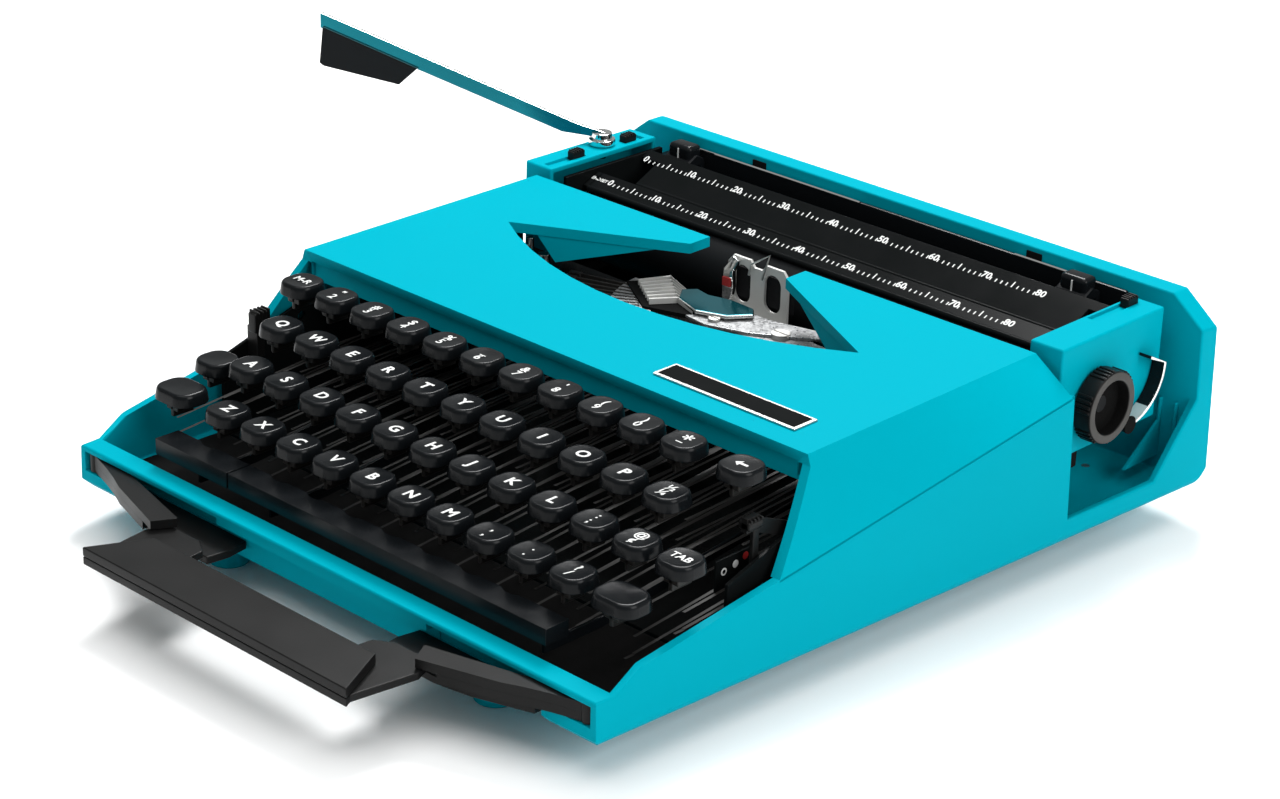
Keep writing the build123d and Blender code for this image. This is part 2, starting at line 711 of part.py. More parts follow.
def make_typebars():
    """Fan of type bars lying in the segment's slots, each with its type head."""
    slot_length = SEGMENT_OUTER - SEGMENT_INNER
    inner = (SEGMENT_OUTER + SEGMENT_INNER) / 2 - slot_length / 4 + SLOT_CLEARANCE
    length = TYPEBAR_REACH - inner
    low = SEGMENT_THICKNESS - TYPEBAR_DEPTH + SLOT_CLEARANCE
    bar = Pos(0, -(inner + length / 2), low + TYPEBAR_DEPTH / 2) * Box(
        TYPEBAR_THICKNESS, length, TYPEBAR_DEPTH
    )
    head_middle = low + TYPEBAR_DEPTH - TYPE_HEAD_HEIGHT / 2
    bar += Pos(0, -(TYPEBAR_REACH + TYPE_HEAD_LENGTH / 2), head_middle) * Box(
        TYPE_HEAD_WIDTH, TYPE_HEAD_LENGTH, TYPE_HEAD_HEIGHT
    )
    return [basket_place(angle) * bar for angle in typebar_angles()]


def make_ribbon_vibrator():
    """Upright plate with two windows that lifts the ribbon at the printing point."""
    face = TYPE_CENTRE_DEPTH + SLIDE_CLEARANCE
    base = SEGMENT_HEIGHT
    plate = block(
        TYPE_CENTRE_X - VIBRATOR_WIDTH / 2,
        TYPE_CENTRE_X + VIBRATOR_WIDTH / 2,
        face,
        face + VIBRATOR_THICKNESS,
        base,
        base + VIBRATOR_HEIGHT,
    )
    window = SlotOverall(VIBRATOR_HEIGHT / 2, VIBRATOR_SLOT, rotation=90)
    cut = extrude(Plane.XZ.offset(-deep(face)) * window, VIBRATOR_THICKNESS, dir=(0, 1, 0))
    for side in (-1, 1):
        x = TYPE_CENTRE_X + side * VIBRATOR_WIDTH / 4
        plate -= Pos(x, 0, high(base + VIBRATOR_WINDOW_HEIGHT)) * cut
    return plate


def make_ribbon_spool(side):
    """Flanged ribbon spool on its post."""
    low = SHELF_HEIGHT + CHASSIS_SHEET + LIFT_GAP
    x = side * SPOOL_X
    spool = post(x, SPOOL_DEPTH, low, low + SPOOL_FLANGE, SPOOL_RADIUS)
    spool += post(x, SPOOL_DEPTH, low, low + SPOOL_HEIGHT, SPOOL_HUB)
    spool += post(
        x, SPOOL_DEPTH, low + SPOOL_HEIGHT - SPOOL_FLANGE, low + SPOOL_HEIGHT, SPOOL_RADIUS
    )
    spool -= post(x, SPOOL_DEPTH, low, low + SPOOL_HEIGHT, SPOOL_POST + RUNNING_CLEARANCE)
    return spool


def make_cap(width=CAP_SIZE):
    """Key cap with tapered sides and a dished top, its top middle at the origin."""
    shrink = 2 * CAP_HEIGHT * tan(radians(CAP_TAPER))
    foot = Plane.XY.offset(-CAP_HEIGHT) * RectangleRounded(width, CAP_SIZE, CAP_CORNER)
    crown = RectangleRounded(width - shrink, CAP_SIZE - shrink, CAP_CORNER)
    cap = loft([foot, crown], ruled=True)
    cap -= Pos(0, 0, DISH_RADIUS - DISH_DEPTH) * Sphere(DISH_RADIUS)
    return cap


def lever_sketch(row):
    """Side view of a key lever: stem, arm and bored boss."""
    depth = ROW_DEPTHS[row]
    foot = LEVER_FEET[row]
    stem_top = ROW_HEIGHTS[row] - CAP_HEIGHT + STEM_SINK
    half = STEM_WIDTH / 2
    sketch = side_sketch(
        (
            (depth - half, foot),
            (depth + half, foot),
            (depth + half, stem_top),
            (depth - half, stem_top),
        )
    )
    sketch += side_sketch(
        (
            (depth - half, foot),
            (FULCRUM_DEPTH, FULCRUM_HEIGHT - LEVER_DEPTH / 2),
            (FULCRUM_DEPTH, FULCRUM_HEIGHT + LEVER_DEPTH / 2),
            (depth - half, foot + LEVER_DEPTH),
        )
    )
    sketch += side_disc(FULCRUM_DEPTH, FULCRUM_HEIGHT, LEVER_BOSS)
    sketch -= side_disc(FULCRUM_DEPTH, FULCRUM_HEIGHT, FULCRUM_RADIUS + RUNNING_CLEARANCE)
    return sketch


def make_key(row, x, lever_x=None, width=CAP_SIZE):
    """Key with its cap, stem and lever in one piece."""
    plate_x = x if lever_x is None else lever_x
    lever = across(lever_sketch(row), plate_x - LEVER_THICKNESS / 2, plate_x + LEVER_THICKNESS / 2)
    return lever + Pos(x, deep(ROW_DEPTHS[row]), high(ROW_HEIGHTS[row])) * make_cap(width)


def key_x(row, place):
    """X of a key by its place in a row."""
    return ROW_STAGGERS[row] - KEYBOARD_HALF + KEY_PITCH * place


def make_number_and_sign_keys():
    """Number keys and sign keys, which share one node."""
    places = [(0, place) for place in range(1, NUMBER_KEYS + 1)]
    places += SIGN_KEY_PLACES
    return [make_key(row, key_x(row, place)) for row, place in places]


def make_shift_keys():
    """Left and right shift keys joined by their bail."""
    row = len(ROW_DEPTHS) - 1
    left = LEFT_SHIFT_INSET - KEYBOARD_HALF
    right = key_x(row, BOTTOM_ROW_KEYS - 1) + RIGHT_SHIFT_GAP
    left_lever = left - LEFT_SHIFT_LEVER_OFFSET
    right_lever = right + RIGHT_SHIFT_LEVER_OFFSET
    keys = make_key(row, left, left_lever, SHIFT_CAP_WIDTH)
    keys += make_key(row, right, right_lever, SHIFT_CAP_WIDTH)
    for x in (left_lever, right_lever):
        half = LEVER_THICKNESS / 2
        hanger = side_sketch(
            (
                (SHIFT_BAIL_DEPTH - SHIFT_BAIL_RADIUS, SHIFT_BAIL_HEIGHT),
                (SHIFT_BAIL_DEPTH + SHIFT_BAIL_RADIUS, SHIFT_BAIL_HEIGHT),
                (SHIFT_BAIL_DEPTH + SHIFT_BAIL_RADIUS, FULCRUM_HEIGHT),
                (SHIFT_BAIL_DEPTH - SHIFT_BAIL_RADIUS, FULCRUM_HEIGHT),
            )
        )
        keys += across(hanger, x - half, x + half)
    keys += pin_x(left_lever, right_lever, SHIFT_BAIL_DEPTH, SHIFT_BAIL_HEIGHT, SHIFT_BAIL_RADIUS)
    return keys


def space_arm_x(place):
    """X of a space bar arm, midway between the levers of two neighbouring keys."""
    row = len(ROW_DEPTHS) - 1
    return (key_x(row, place) + key_x(row - 2, place + 1)) / 2


def space_bar_half():
    """Half width of the whole row of space bars."""
    return space_arm_x(SPACE_ARM_PLACES[-1]) + SPACE_BAR_OVERHANG


def space_arm(x):
    """Lever under a space bar: a stem, then an arm rising to the fulcrum rod."""
    bar_low = SPACE_BAR_TOP - SPACE_BAR_HEIGHT
    low = bar_low - SPACE_ARM_DROP
    middle = SPACE_BAR_FRONT + SPACE_BAR_DEPTH / 2
    start = middle - SPACE_STEM_WIDTH / 2
    sketch = side_sketch(
        (
            (start, low),
            (SPACE_ARM_KNEE, low),
            (FULCRUM_DEPTH, FULCRUM_HEIGHT - SPACE_ARM_DEPTH / 2),
            (FULCRUM_DEPTH, FULCRUM_HEIGHT + SPACE_ARM_DEPTH / 2),
            (SPACE_ARM_KNEE, low + SPACE_ARM_DEPTH),
            (start + SPACE_STEM_WIDTH, low + SPACE_ARM_DEPTH),
            (start + SPACE_STEM_WIDTH, bar_low + STEM_SINK),
            (start, bar_low + STEM_SINK),
        )
    )
    sketch += side_disc(FULCRUM_DEPTH, FULCRUM_HEIGHT, LEVER_BOSS)
    sketch -= side_disc(FULCRUM_DEPTH, FULCRUM_HEIGHT, FULCRUM_RADIUS + RUNNING_CLEARANCE)
    return across(sketch, x - LEVER_THICKNESS / 2, x + LEVER_THICKNESS / 2)


def bar_body(x_low, x_high):
    """Space bar between two ends, its rear edge scalloped round the keys behind it."""
    low = SPACE_BAR_TOP - SPACE_BAR_HEIGHT
    rear = SPACE_BAR_FRONT + SPACE_BAR_DEPTH
    bar = block(x_low, x_high, SPACE_BAR_FRONT, rear, low, SPACE_BAR_TOP)
    row = len(ROW_DEPTHS) - 1
    radius = CAP_SIZE / 2
    for place in range(BOTTOM_ROW_KEYS):
        x = key_x(row, place)
        if x_low + radius < x < x_high - radius:
            bar -= post(x, rear + radius - SCALLOP_DEPTH, low, SPACE_BAR_TOP, radius)
    return bar


def make_space_bar():
    """Main space bar on two arms."""
    half = space_bar_half()
    bar = bar_body(POWER_BAR_WIDTH + SPACE_BAR_GAP / 2 - half, half)
    for place in SPACE_ARM_PLACES:
        bar += space_arm(space_arm_x(place))
    return bar


def make_power_space_bar():
    """Short repeating space bar at the left, on one arm."""
    half = space_bar_half()
    bar = bar_body(-half, POWER_BAR_WIDTH - SPACE_BAR_GAP / 2 - half)
    return bar + space_arm(space_arm_x(POWER_ARM_PLACE))


def make_ribbon_selector():
    """Ribbon colour selector on the right side plate."""
    run = atan2(
        SELECTOR_TIP_HEIGHT - SELECTOR_PIVOT_HEIGHT, SELECTOR_TIP_DEPTH - SELECTOR_PIVOT_DEPTH
    )
    offset = (-sin(run) * SELECTOR_ARM / 2, cos(run) * SELECTOR_ARM / 2)
    ends = ((SELECTOR_PIVOT_DEPTH, SELECTOR_PIVOT_HEIGHT), (SELECTOR_TIP_DEPTH, SELECTOR_TIP_HEIGHT))
    corners = [(d + offset[0], h + offset[1]) for d, h in ends]
    corners += [(d - offset[0], h - offset[1]) for d, h in reversed(ends)]
    sketch = side_sketch(corners)
    sketch += side_disc(SELECTOR_PIVOT_DEPTH, SELECTOR_PIVOT_HEIGHT, SELECTOR_ARM / 2)
    outer = SELECTOR_X + SELECTOR_THICKNESS
    selector = across(sketch, SELECTOR_X, outer)
    selector += block(
        SELECTOR_X - SELECTOR_THICKNESS,
        outer,
        SELECTOR_TIP_DEPTH - SELECTOR_BUTTON / 2,
        SELECTOR_TIP_DEPTH + SELECTOR_BUTTON / 2,
        SELECTOR_TIP_HEIGHT - SELECTOR_ARM / 2,
        SELECTOR_TIP_HEIGHT + SELECTOR_ARM / 2,
    )
    selector += pin_x(
        outer, CHASSIS_HALF_WIDTH, SELECTOR_PIVOT_DEPTH, SELECTOR_PIVOT_HEIGHT, SELECTOR_PIN
    )
    return selector


def make_carriage_rail():
    """T-shaped rail that the carriage slides on, standing on the chassis floor."""
    floor_top = FLOOR_THICKNESS + CHASSIS_SHEET
    head_low = RAIL_TOP - RAIL_HEAD
    rail = block(
        -RAIL_HALF_LENGTH,
        RAIL_HALF_LENGTH,
        PLATEN_DEPTH - RAIL_WIDTH / 2,
        PLATEN_DEPTH + RAIL_WIDTH / 2,
        head_low,
        RAIL_TOP,
    )
    rail += block(
        -RAIL_HALF_LENGTH,
        RAIL_HALF_LENGTH,
        PLATEN_DEPTH - RAIL_WEB / 2,
        PLATEN_DEPTH + RAIL_WEB / 2,
        floor_top,
        head_low,
    )
    return rail


def make_carriage_frame():
    """Sliding channel, two end plates and the margin bar."""
    inner = RAIL_WIDTH / 2 + SLIDE_CLEARANCE
    outer = inner + CHANNEL_WALL
    lip_top = RAIL_TOP - RAIL_HEAD - SLIDE_CLEARANCE
    low = lip_top - CHANNEL_LIP_THICKNESS
    roof = RAIL_TOP + SLIDE_CLEARANCE
    lip = inner - CHANNEL_LIP
    corners = (
        (-outer, low),
        (-lip, low),
        (-lip, lip_top),
        (-inner, lip_top),
        (-inner, roof),
        (inner, roof),
        (inner, lip_top),
        (lip, lip_top),
        (lip, low),
        (outer, low),
        (outer, roof + CHANNEL_WALL),
        (-outer, roof + CHANNEL_WALL),
    )
    channel = side_sketch([(PLATEN_DEPTH + d, h) for d, h in corners])
    frame = across(channel, -CARRIAGE_HALF, CARRIAGE_HALF)
    plate = side_sketch(
        (
            (END_PLATE_FRONT, low),
            (PLATEN_DEPTH + outer, low),
            (END_PLATE_REAR, PLATEN_HEIGHT),
            (END_PLATE_REAR, END_PLATE_TOP),
            (END_PLATE_FRONT, END_PLATE_TOP),
        )
    )
    plate -= channel_window(inner, roof, low)
    plate -= side_disc(PLATEN_DEPTH, PLATEN_HEIGHT, SHAFT_RADIUS + RUNNING_CLEARANCE)
    plate -= side_disc(BAIL_PIVOT[0], BAIL_PIVOT[1], BAIL_PIN + RUNNING_CLEARANCE)
    for x in (-CARRIAGE_HALF, CARRIAGE_HALF - END_PLATE):
        frame += across(plate, x, x + END_PLATE)
    half = MARGIN_BAR_SIZE / 2
    frame += block(
        -CARRIAGE_HALF,
        CARRIAGE_HALF,
        MARGIN_BAR_DEPTH - half,
        MARGIN_BAR_DEPTH + half,
        MARGIN_BAR_HEIGHT - half,
        MARGIN_BAR_HEIGHT + half,
    )
    return frame


def channel_window(inner, roof, low):
    """Side view of the space that the rail runs through."""
    return side_sketch(
        (
            (PLATEN_DEPTH - inner, low),
            (PLATEN_DEPTH + inner, low),
            (PLATEN_DEPTH + inner, roof),
            (PLATEN_DEPTH - inner, roof),
        )
    )


def make_end_cover(side):
    """Hollow cover over one end of the carriage, open on its inner side."""
    outer = CARRIAGE_HALF + COVER_WIDTH
    cover = block(CARRIAGE_HALF, outer, COVER_FRONT, COVER_REAR, COVER_BOTTOM, COVER_TOP)
    cover -= block(
        CARRIAGE_HALF,
        outer - COVER_WALL,
        COVER_FRONT + COVER_WALL,
        COVER_REAR - COVER_WALL,
        COVER_BOTTOM + COVER_WALL,
        COVER_TOP - COVER_WALL,
    )
    cover -= pin_x(outer - COVER_WALL, outer, PLATEN_DEPTH, PLATEN_HEIGHT, COVER_BORE)
    if side > 0:
        cover -= pin_x(
            outer - COVER_WALL, outer, RELEASE_PIVOT[0], RELEASE_PIVOT[1], RELEASE_PIN + RUNNING_CLEARANCE
        )
        return cover
    cover -= post(
        outer - LEVER_PIVOT_INSET,
        LEVER_PIVOT_DEPTH,
        COVER_TOP - COVER_WALL,
        COVER_TOP,
        LEVER_PIN + RUNNING_CLEARANCE,
    )
    return mirrored(cover)


def make_platen():
    """Rubber roller with its steel shaft ends."""
    roller = pin_x(-PLATEN_HALF_LENGTH, PLATEN_HALF_LENGTH, PLATEN_DEPTH, PLATEN_HEIGHT, PLATEN_RADIUS)
    shaft_end = COVER_OUTER + KNOB_GAP + KNOB_WIDTH - KNOB_HOLLOW_DEPTH
    return roller + pin_x(-shaft_end, shaft_end, PLATEN_DEPTH, PLATEN_HEIGHT, SHAFT_RADIUS)


def make_platen_knobs():
    """Pair of hollow-faced knobs on the platen shaft."""
    start = COVER_OUTER + KNOB_GAP
    face = start + KNOB_WIDTH
    knob = pin_x(start, face, PLATEN_DEPTH, PLATEN_HEIGHT, KNOB_RADIUS)
    knob -= pin_x(face - KNOB_HOLLOW_DEPTH, face, PLATEN_DEPTH, PLATEN_HEIGHT, KNOB_HOLLOW_RADIUS)
    knob -= pin_x(start, face, PLATEN_DEPTH, PLATEN_HEIGHT, SHAFT_RADIUS + RUNNING_CLEARANCE)
    return [knob, mirrored(knob)]


def make_paper_table():
    """Sloping plate behind the platen with a lug at each end."""
    run = atan2(TABLE_REAR[1] - TABLE_FRONT[1], TABLE_REAR[0] - TABLE_FRONT[0])
    lift = (-sin(run) * TABLE_SHEET, cos(run) * TABLE_SHEET)

    def strip(start):
        """Sheet section from a start point to the table's rear edge."""
        return side_sketch(
            (
                start,
                TABLE_REAR,
                (TABLE_REAR[0] + lift[0], TABLE_REAR[1] + lift[1]),
                (start[0] + lift[0], start[1] + lift[1]),
            )
        )

    inner_face = CARRIAGE_HALF - END_PLATE
    table = across(strip(TABLE_FRONT), -TABLE_HALF_WIDTH, TABLE_HALF_WIDTH)
    lug_start = (TABLE_REAR[0] - TABLE_LUG * cos(run), TABLE_REAR[1] - TABLE_LUG * sin(run))
    return table + across(strip(lug_start), -inner_face, inner_face)


def make_paper_bail():
    """Scale strip over the platen on two arms with pivot pins."""
    strip = Pos(deep(BAIL_STRIP_DEPTH), high(BAIL_STRIP_HEIGHT)) * (
        Rot(0, 0, BAIL_STRIP_LEAN) * Rectangle(BAIL_STRIP_WIDTH, BAIL_STRIP_THICKNESS)
    )
    arm_outer = BAIL_ARM_X + BAIL_ARM_THICKNESS
    bail = across(strip, -arm_outer, arm_outer)
    run = atan2(BAIL_STRIP_HEIGHT - BAIL_PIVOT[1], BAIL_STRIP_DEPTH - BAIL_PIVOT[0])
    offset = (-sin(run) * BAIL_ARM_DEPTH / 2, cos(run) * BAIL_ARM_DEPTH / 2)
    ends = (BAIL_PIVOT, (BAIL_STRIP_DEPTH, BAIL_STRIP_HEIGHT))
    corners = [(d + offset[0], h + offset[1]) for d, h in ends]
    corners += [(d - offset[0], h - offset[1]) for d, h in reversed(ends)]
    arm = side_sketch(corners) + side_disc(BAIL_PIVOT[0], BAIL_PIVOT[1], BAIL_ARM_DEPTH / 2)
    arm -= side_disc(PLATEN_DEPTH, PLATEN_HEIGHT, PLATEN_RADIUS + SLIDE_CLEARANCE)
    for x_low, pin_low, pin_high in (
        (BAIL_ARM_X, BAIL_ARM_X, CARRIAGE_HALF),
        (-arm_outer, -CARRIAGE_HALF, -BAIL_ARM_X),
    ):
        bail += across(arm, x_low, x_low + BAIL_ARM_THICKNESS)
        bail += pin_x(pin_low, pin_high, BAIL_PIVOT[0], BAIL_PIVOT[1], BAIL_PIN)
    return bail


def make_margin_stop(x):
    """Margin stop block that slides along the margin bar."""
    outer = MARGIN_BAR_SIZE / 2 + SLIDE_CLEARANCE + MARGIN_STOP_WALL
    inner = MARGIN_BAR_SIZE / 2 + SLIDE_CLEARANCE
    low = MARGIN_BAR_HEIGHT - outer
    top = MARGIN_BAR_HEIGHT + outer
    stop = side_sketch(
        (
            (MARGIN_BAR_DEPTH - outer, low),
            (MARGIN_BAR_DEPTH + outer, low),
            (MARGIN_BAR_DEPTH + outer, top),
            (MARGIN_BAR_DEPTH, top + MARGIN_STOP_WALL),
            (MARGIN_BAR_DEPTH - outer, top),
        )
    )
    stop -= side_sketch(
        (
            (MARGIN_BAR_DEPTH - inner, MARGIN_BAR_HEIGHT - inner),
            (MARGIN_BAR_DEPTH + inner, MARGIN_BAR_HEIGHT - inner),
            (MARGIN_BAR_DEPTH + inner, MARGIN_BAR_HEIGHT + inner),
            (MARGIN_BAR_DEPTH - inner, MARGIN_BAR_HEIGHT + inner),
        )
    )
    return across(stop, x - MARGIN_STOP_WIDTH / 2, x + MARGIN_STOP_WIDTH / 2)


def make_paper_release_lever():
    """Curved lever outside the right end cover."""
    centre = (RELEASE_PIVOT[0], RELEASE_PIVOT[1] + RELEASE_RADIUS)
    outer_radius = RELEASE_RADIUS + RELEASE_SHEET / 2
    ring = side_disc(centre[0], centre[1], outer_radius)
    ring -= side_disc(centre[0], centre[1], outer_radius - RELEASE_SHEET)
    quarter = side_sketch(
        (
            centre,
            (centre[0], centre[1] - 2 * RELEASE_RADIUS),
            (centre[0] + 2 * RELEASE_RADIUS, centre[1] - 2 * RELEASE_RADIUS),
            (centre[0] + 2 * RELEASE_RADIUS, centre[1]),
        )
    )
    sketch = ring & quarter
    tip = centre[0] + outer_radius
    sketch += side_sketch(
        (
            (tip - RELEASE_SHEET, centre[1]),
            (tip, centre[1]),
            (tip - RELEASE_HOOK, centre[1] + RELEASE_HOOK / 2),
            (tip - RELEASE_HOOK, centre[1] + RELEASE_HOOK / 2 - RELEASE_SHEET),
        )
    )
    sketch += side_disc(RELEASE_PIVOT[0], RELEASE_PIVOT[1], RELEASE_BOSS)
    inner = COVER_OUTER + LIFT_GAP
    lever = across(sketch, inner, inner + RELEASE_WIDTH)
    return lever + pin_x(
        COVER_OUTER - COVER_WALL, inner, RELEASE_PIVOT[0], RELEASE_PIVOT[1], RELEASE_PIN
    )


def make_return_lever():
    """Long rising lever on the left end cover with a finger paddle under its tip."""
    base = COVER_TOP + LIFT_GAP
    boss_top = base + LEVER_BOSS_HEIGHT
    x = -(COVER_OUTER - LEVER_PIVOT_INSET)
    lever = post(x, LEVER_PIVOT_DEPTH, base, boss_top, LEVER_BOSS_RADIUS)
    lever += post(x, LEVER_PIVOT_DEPTH, base - LEVER_PIN_LENGTH, base, LEVER_PIN)
    slope = LEVER_RISE / LEVER_SPAN
    strip = Polygon(
        (0, 0),
        (LEVER_BOSS_RADIUS, 0),
        (LEVER_SPAN, LEVER_RISE - LEVER_STRIP_DEPTH + LEVER_BOSS_HEIGHT),
        (LEVER_SPAN, LEVER_RISE + LEVER_BOSS_HEIGHT),
        (0, LEVER_BOSS_HEIGHT),
        align=None,
    )
    arm = extrude(Plane.XZ * strip, LEVER_STRIP / 2, both=True)
    paddle_start = LEVER_SPAN - PADDLE_LENGTH
    under = LEVER_BOSS_HEIGHT - LEVER_STRIP_DEPTH / 2
    paddle = Polygon(
        (paddle_start, slope * paddle_start + under),
        (LEVER_SPAN, LEVER_RISE + under),
        (LEVER_SPAN, LEVER_RISE + under - PADDLE_DEPTH),
        (paddle_start + PADDLE_DEPTH / 2, slope * paddle_start + under - PADDLE_DEPTH),
        align=None,
    )
    arm += extrude(Plane.XZ * paddle, PADDLE_THICKNESS / 2, both=True)
    place = Pos(x, deep(LEVER_PIVOT_DEPTH), high(base))
    return lever + place * (Rot(0, 0, 180 + LEVER_AZIMUTH) * arm)


def make_handle_link(side):
    """Link from a pivot in the front wall to the grip, lapped over the grip's arm."""
    low = HANDLE_TOP - HANDLE_THICKNESS
    link = extrude(Plane.XY.offset(high(low)) * link_outline(side), HANDLE_THICKNESS, dir=(0, 0, 1))
    link += post(side * LINK_PIVOT_X, LINK_PIVOT_INSET, low, HANDLE_TOP, LINK_PIVOT_RADIUS)
    link += post(side * LINK_END_X, -LINK_END_REACH, low, HANDLE_TOP, LINK_END_RADIUS)
    lap_half = LINK_END_RADIUS + ARM_HALF_WIDTH + POCKET_GAP
    lap = HANDLE_TOP - HANDLE_THICKNESS / 2
    link -= block(
        side * LINK_END_X - lap_half,
        side * LINK_END_X + lap_half,
        -LINK_END_REACH - 2 * lap_half,
        FRONT_WALL,
        low,
        lap,
    )
    link -= post(
        side * LINK_PIVOT_X, LINK_PIVOT_INSET, low, HANDLE_TOP, LINK_PIN + RUNNING_CLEARANCE
    )
    return link


def make_handle_grip():
    """Grip bar with mitred ends and an arm under each link."""
    low = HANDLE_TOP - HANDLE_THICKNESS
    rear = GRIP_DEPTH - GRIP_FRONT
    grip = upright(
        (
            (-GRIP_FRONT_HALF, -GRIP_FRONT),
            (GRIP_FRONT_HALF, -GRIP_FRONT),
            (GRIP_REAR_HALF, rear),
            (-GRIP_REAR_HALF, rear),
        ),
        low,
        HANDLE_TOP,
    )
    arm_top = HANDLE_TOP - HANDLE_THICKNESS / 2 - LAP_GAP
    for side in (-1, 1):
        lap_half = LINK_END_RADIUS + ARM_HALF_WIDTH
        grip -= post(
            side * LINK_END_X, -LINK_END_REACH, arm_top, HANDLE_TOP, lap_half + LINK_SLIDE_ROOM
        )
        x = side * (LINK_END_X - ARM_HALF_WIDTH / 2)
        grip += block(
            x - ARM_HALF_WIDTH,
            x + ARM_HALF_WIDTH,
            rear - ARM_HALF_WIDTH,
            ARM_OVERRUN - LINK_END_REACH,
            low,
            arm_top,
        )
    return grip


LETTER_ROWS = ((1, "qwertyuiop"), (2, "asdfghjkl"), (3, "zxcvbnm"))


def build_nodes():
    """All pieces by node name, each a list of separate solids."""
    nodes = {
        "lower_shell": [make_lower_shell()],
        "top_cover": [make_top_cover()],
        "feet": make_feet(),
        "screws": make_screws(),
        "chassis_frame": [make_chassis_frame()],
        "key_fulcrum_rod": [make_key_fulcrum_rod()],
        "type_segment": [make_type_segment()],
        "typebars": make_typebars(),
        "ribbon_vibrator": [make_ribbon_vibrator()],
        "ribbon_spool_left": [make_ribbon_spool(-1)],
        "ribbon_spool_right": [make_ribbon_spool(1)],
        "ribbon_selector": [make_ribbon_selector()],
        "number_and_sign_keys": make_number_and_sign_keys(),
        "margin_release_key": [make_key(0, key_x(0, 0))],
        "backspace_key": [make_key(0, KEYBOARD_HALF - BACKSPACE_INSET)],
        "shift_lock_key": [make_key(2, key_x(2, -1))],
        "tab_key": [make_key(2, KEYBOARD_HALF + TAB_OVERHANG)],
        "shift_keys": [make_shift_keys()],
        "space_bar": [make_space_bar()],
        "power_space_bar": [make_power_space_bar()],
        "carriage_rail": [make_carriage_rail()],
        "carriage_frame": [make_carriage_frame()],
        "end_covers": [make_end_cover(-1), make_end_cover(1)],
        "platen": [make_platen()],
        "platen_knobs": make_platen_knobs(),
        "paper_table": [make_paper_table()],
        "paper_bail": [make_paper_bail()],
        "margin_stop_left": [make_margin_stop(LEFT_STOP_INSET - CARRIAGE_HALF)],
        "margin_stop_right": [make_margin_stop(CARRIAGE_HALF - RIGHT_STOP_INSET)],
        "paper_release_lever": [make_paper_release_lever()],
        "return_lever": [make_return_lever()],
        "handle_grip": [make_handle_grip()],
        "handle_link_left": [make_handle_link(-1)],
        "handle_link_right": [make_handle_link(1)],
    }
    for row, letters in LETTER_ROWS:
        for place, letter in enumerate(letters):
            nodes["key_" + letter] = [make_key(row, key_x(row, place))]
    return nodes


def main():
    """Write one STEP file per node."""
    os.makedirs("parts", exist_ok=True)
    for name, pieces in build_nodes().items():
        solids = [solid for piece in pieces for solid in piece.solids()]
        export_step(Compound(children=solids), os.path.join("parts", name + ".step"))


if __name__ == "__main__":
    main()
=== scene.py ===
"""Portable typewriter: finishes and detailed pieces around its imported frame.

Points are in metres. Widths, radii and the fields of the classes are in millimetres, and a place is
given by its X, its depth behind the shell's front face and its height above the shell's underside.
+X is the typist's right, +Y runs back from the typist, +Z is up.
"""

import logging
import math
from collections.abc import Callable, Iterator
from contextlib import contextmanager
from dataclasses import dataclass, field
from enum import Enum
from functools import cache

import bmesh
import bpy
from mathutils import Matrix, Vector


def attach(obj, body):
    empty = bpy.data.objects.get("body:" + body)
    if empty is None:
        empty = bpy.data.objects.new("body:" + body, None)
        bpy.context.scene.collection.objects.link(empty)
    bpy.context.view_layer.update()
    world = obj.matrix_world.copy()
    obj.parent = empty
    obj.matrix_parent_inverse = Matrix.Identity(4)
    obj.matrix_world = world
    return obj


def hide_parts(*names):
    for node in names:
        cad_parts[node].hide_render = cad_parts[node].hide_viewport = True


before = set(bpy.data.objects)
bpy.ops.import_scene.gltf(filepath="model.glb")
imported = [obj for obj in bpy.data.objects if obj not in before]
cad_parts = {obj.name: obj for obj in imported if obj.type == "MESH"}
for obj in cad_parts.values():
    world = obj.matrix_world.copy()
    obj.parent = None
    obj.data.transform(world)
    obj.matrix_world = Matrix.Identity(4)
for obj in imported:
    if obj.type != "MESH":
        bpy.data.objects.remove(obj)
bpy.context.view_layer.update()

LOG = logging.getLogger("typewriter")
MM = 0.001
IMAGE_WIDTH = 1280
SHELL_DEPTH = 303.0
FOOT_HEIGHT = 13.0
TYPE_X = -6.0
SMOOTH_ANGLE = math.radians(35)
SIDES = (-1, 1)


def deep(depth: float) -> float:
    """Y of a point at a depth in millimetres behind the shell's front face."""
    return depth * MM - SHELL_DEPTH * MM / 2


def high(height: float) -> float:
    """Z of a point at a height in millimetres above the shell's underside."""
    return height * MM + FOOT_HEIGHT * MM


def spot(x: float, depth: float, height: float) -> Vector:
    """Point at an X, a depth and a height in millimetres."""
    return Vector((x * MM, deep(depth), high(height)))


def span(x: float, y: float, z: float) -> Vector:
    """Step of so many millimetres along each axis."""
    return Vector((x, y, z)) * MM


class Pattern(Enum):
    """Fine relief of a surface."""

    GRAIN = "grain"
    BRUSHED = "brushed"
    SPANGLE = "spangle"


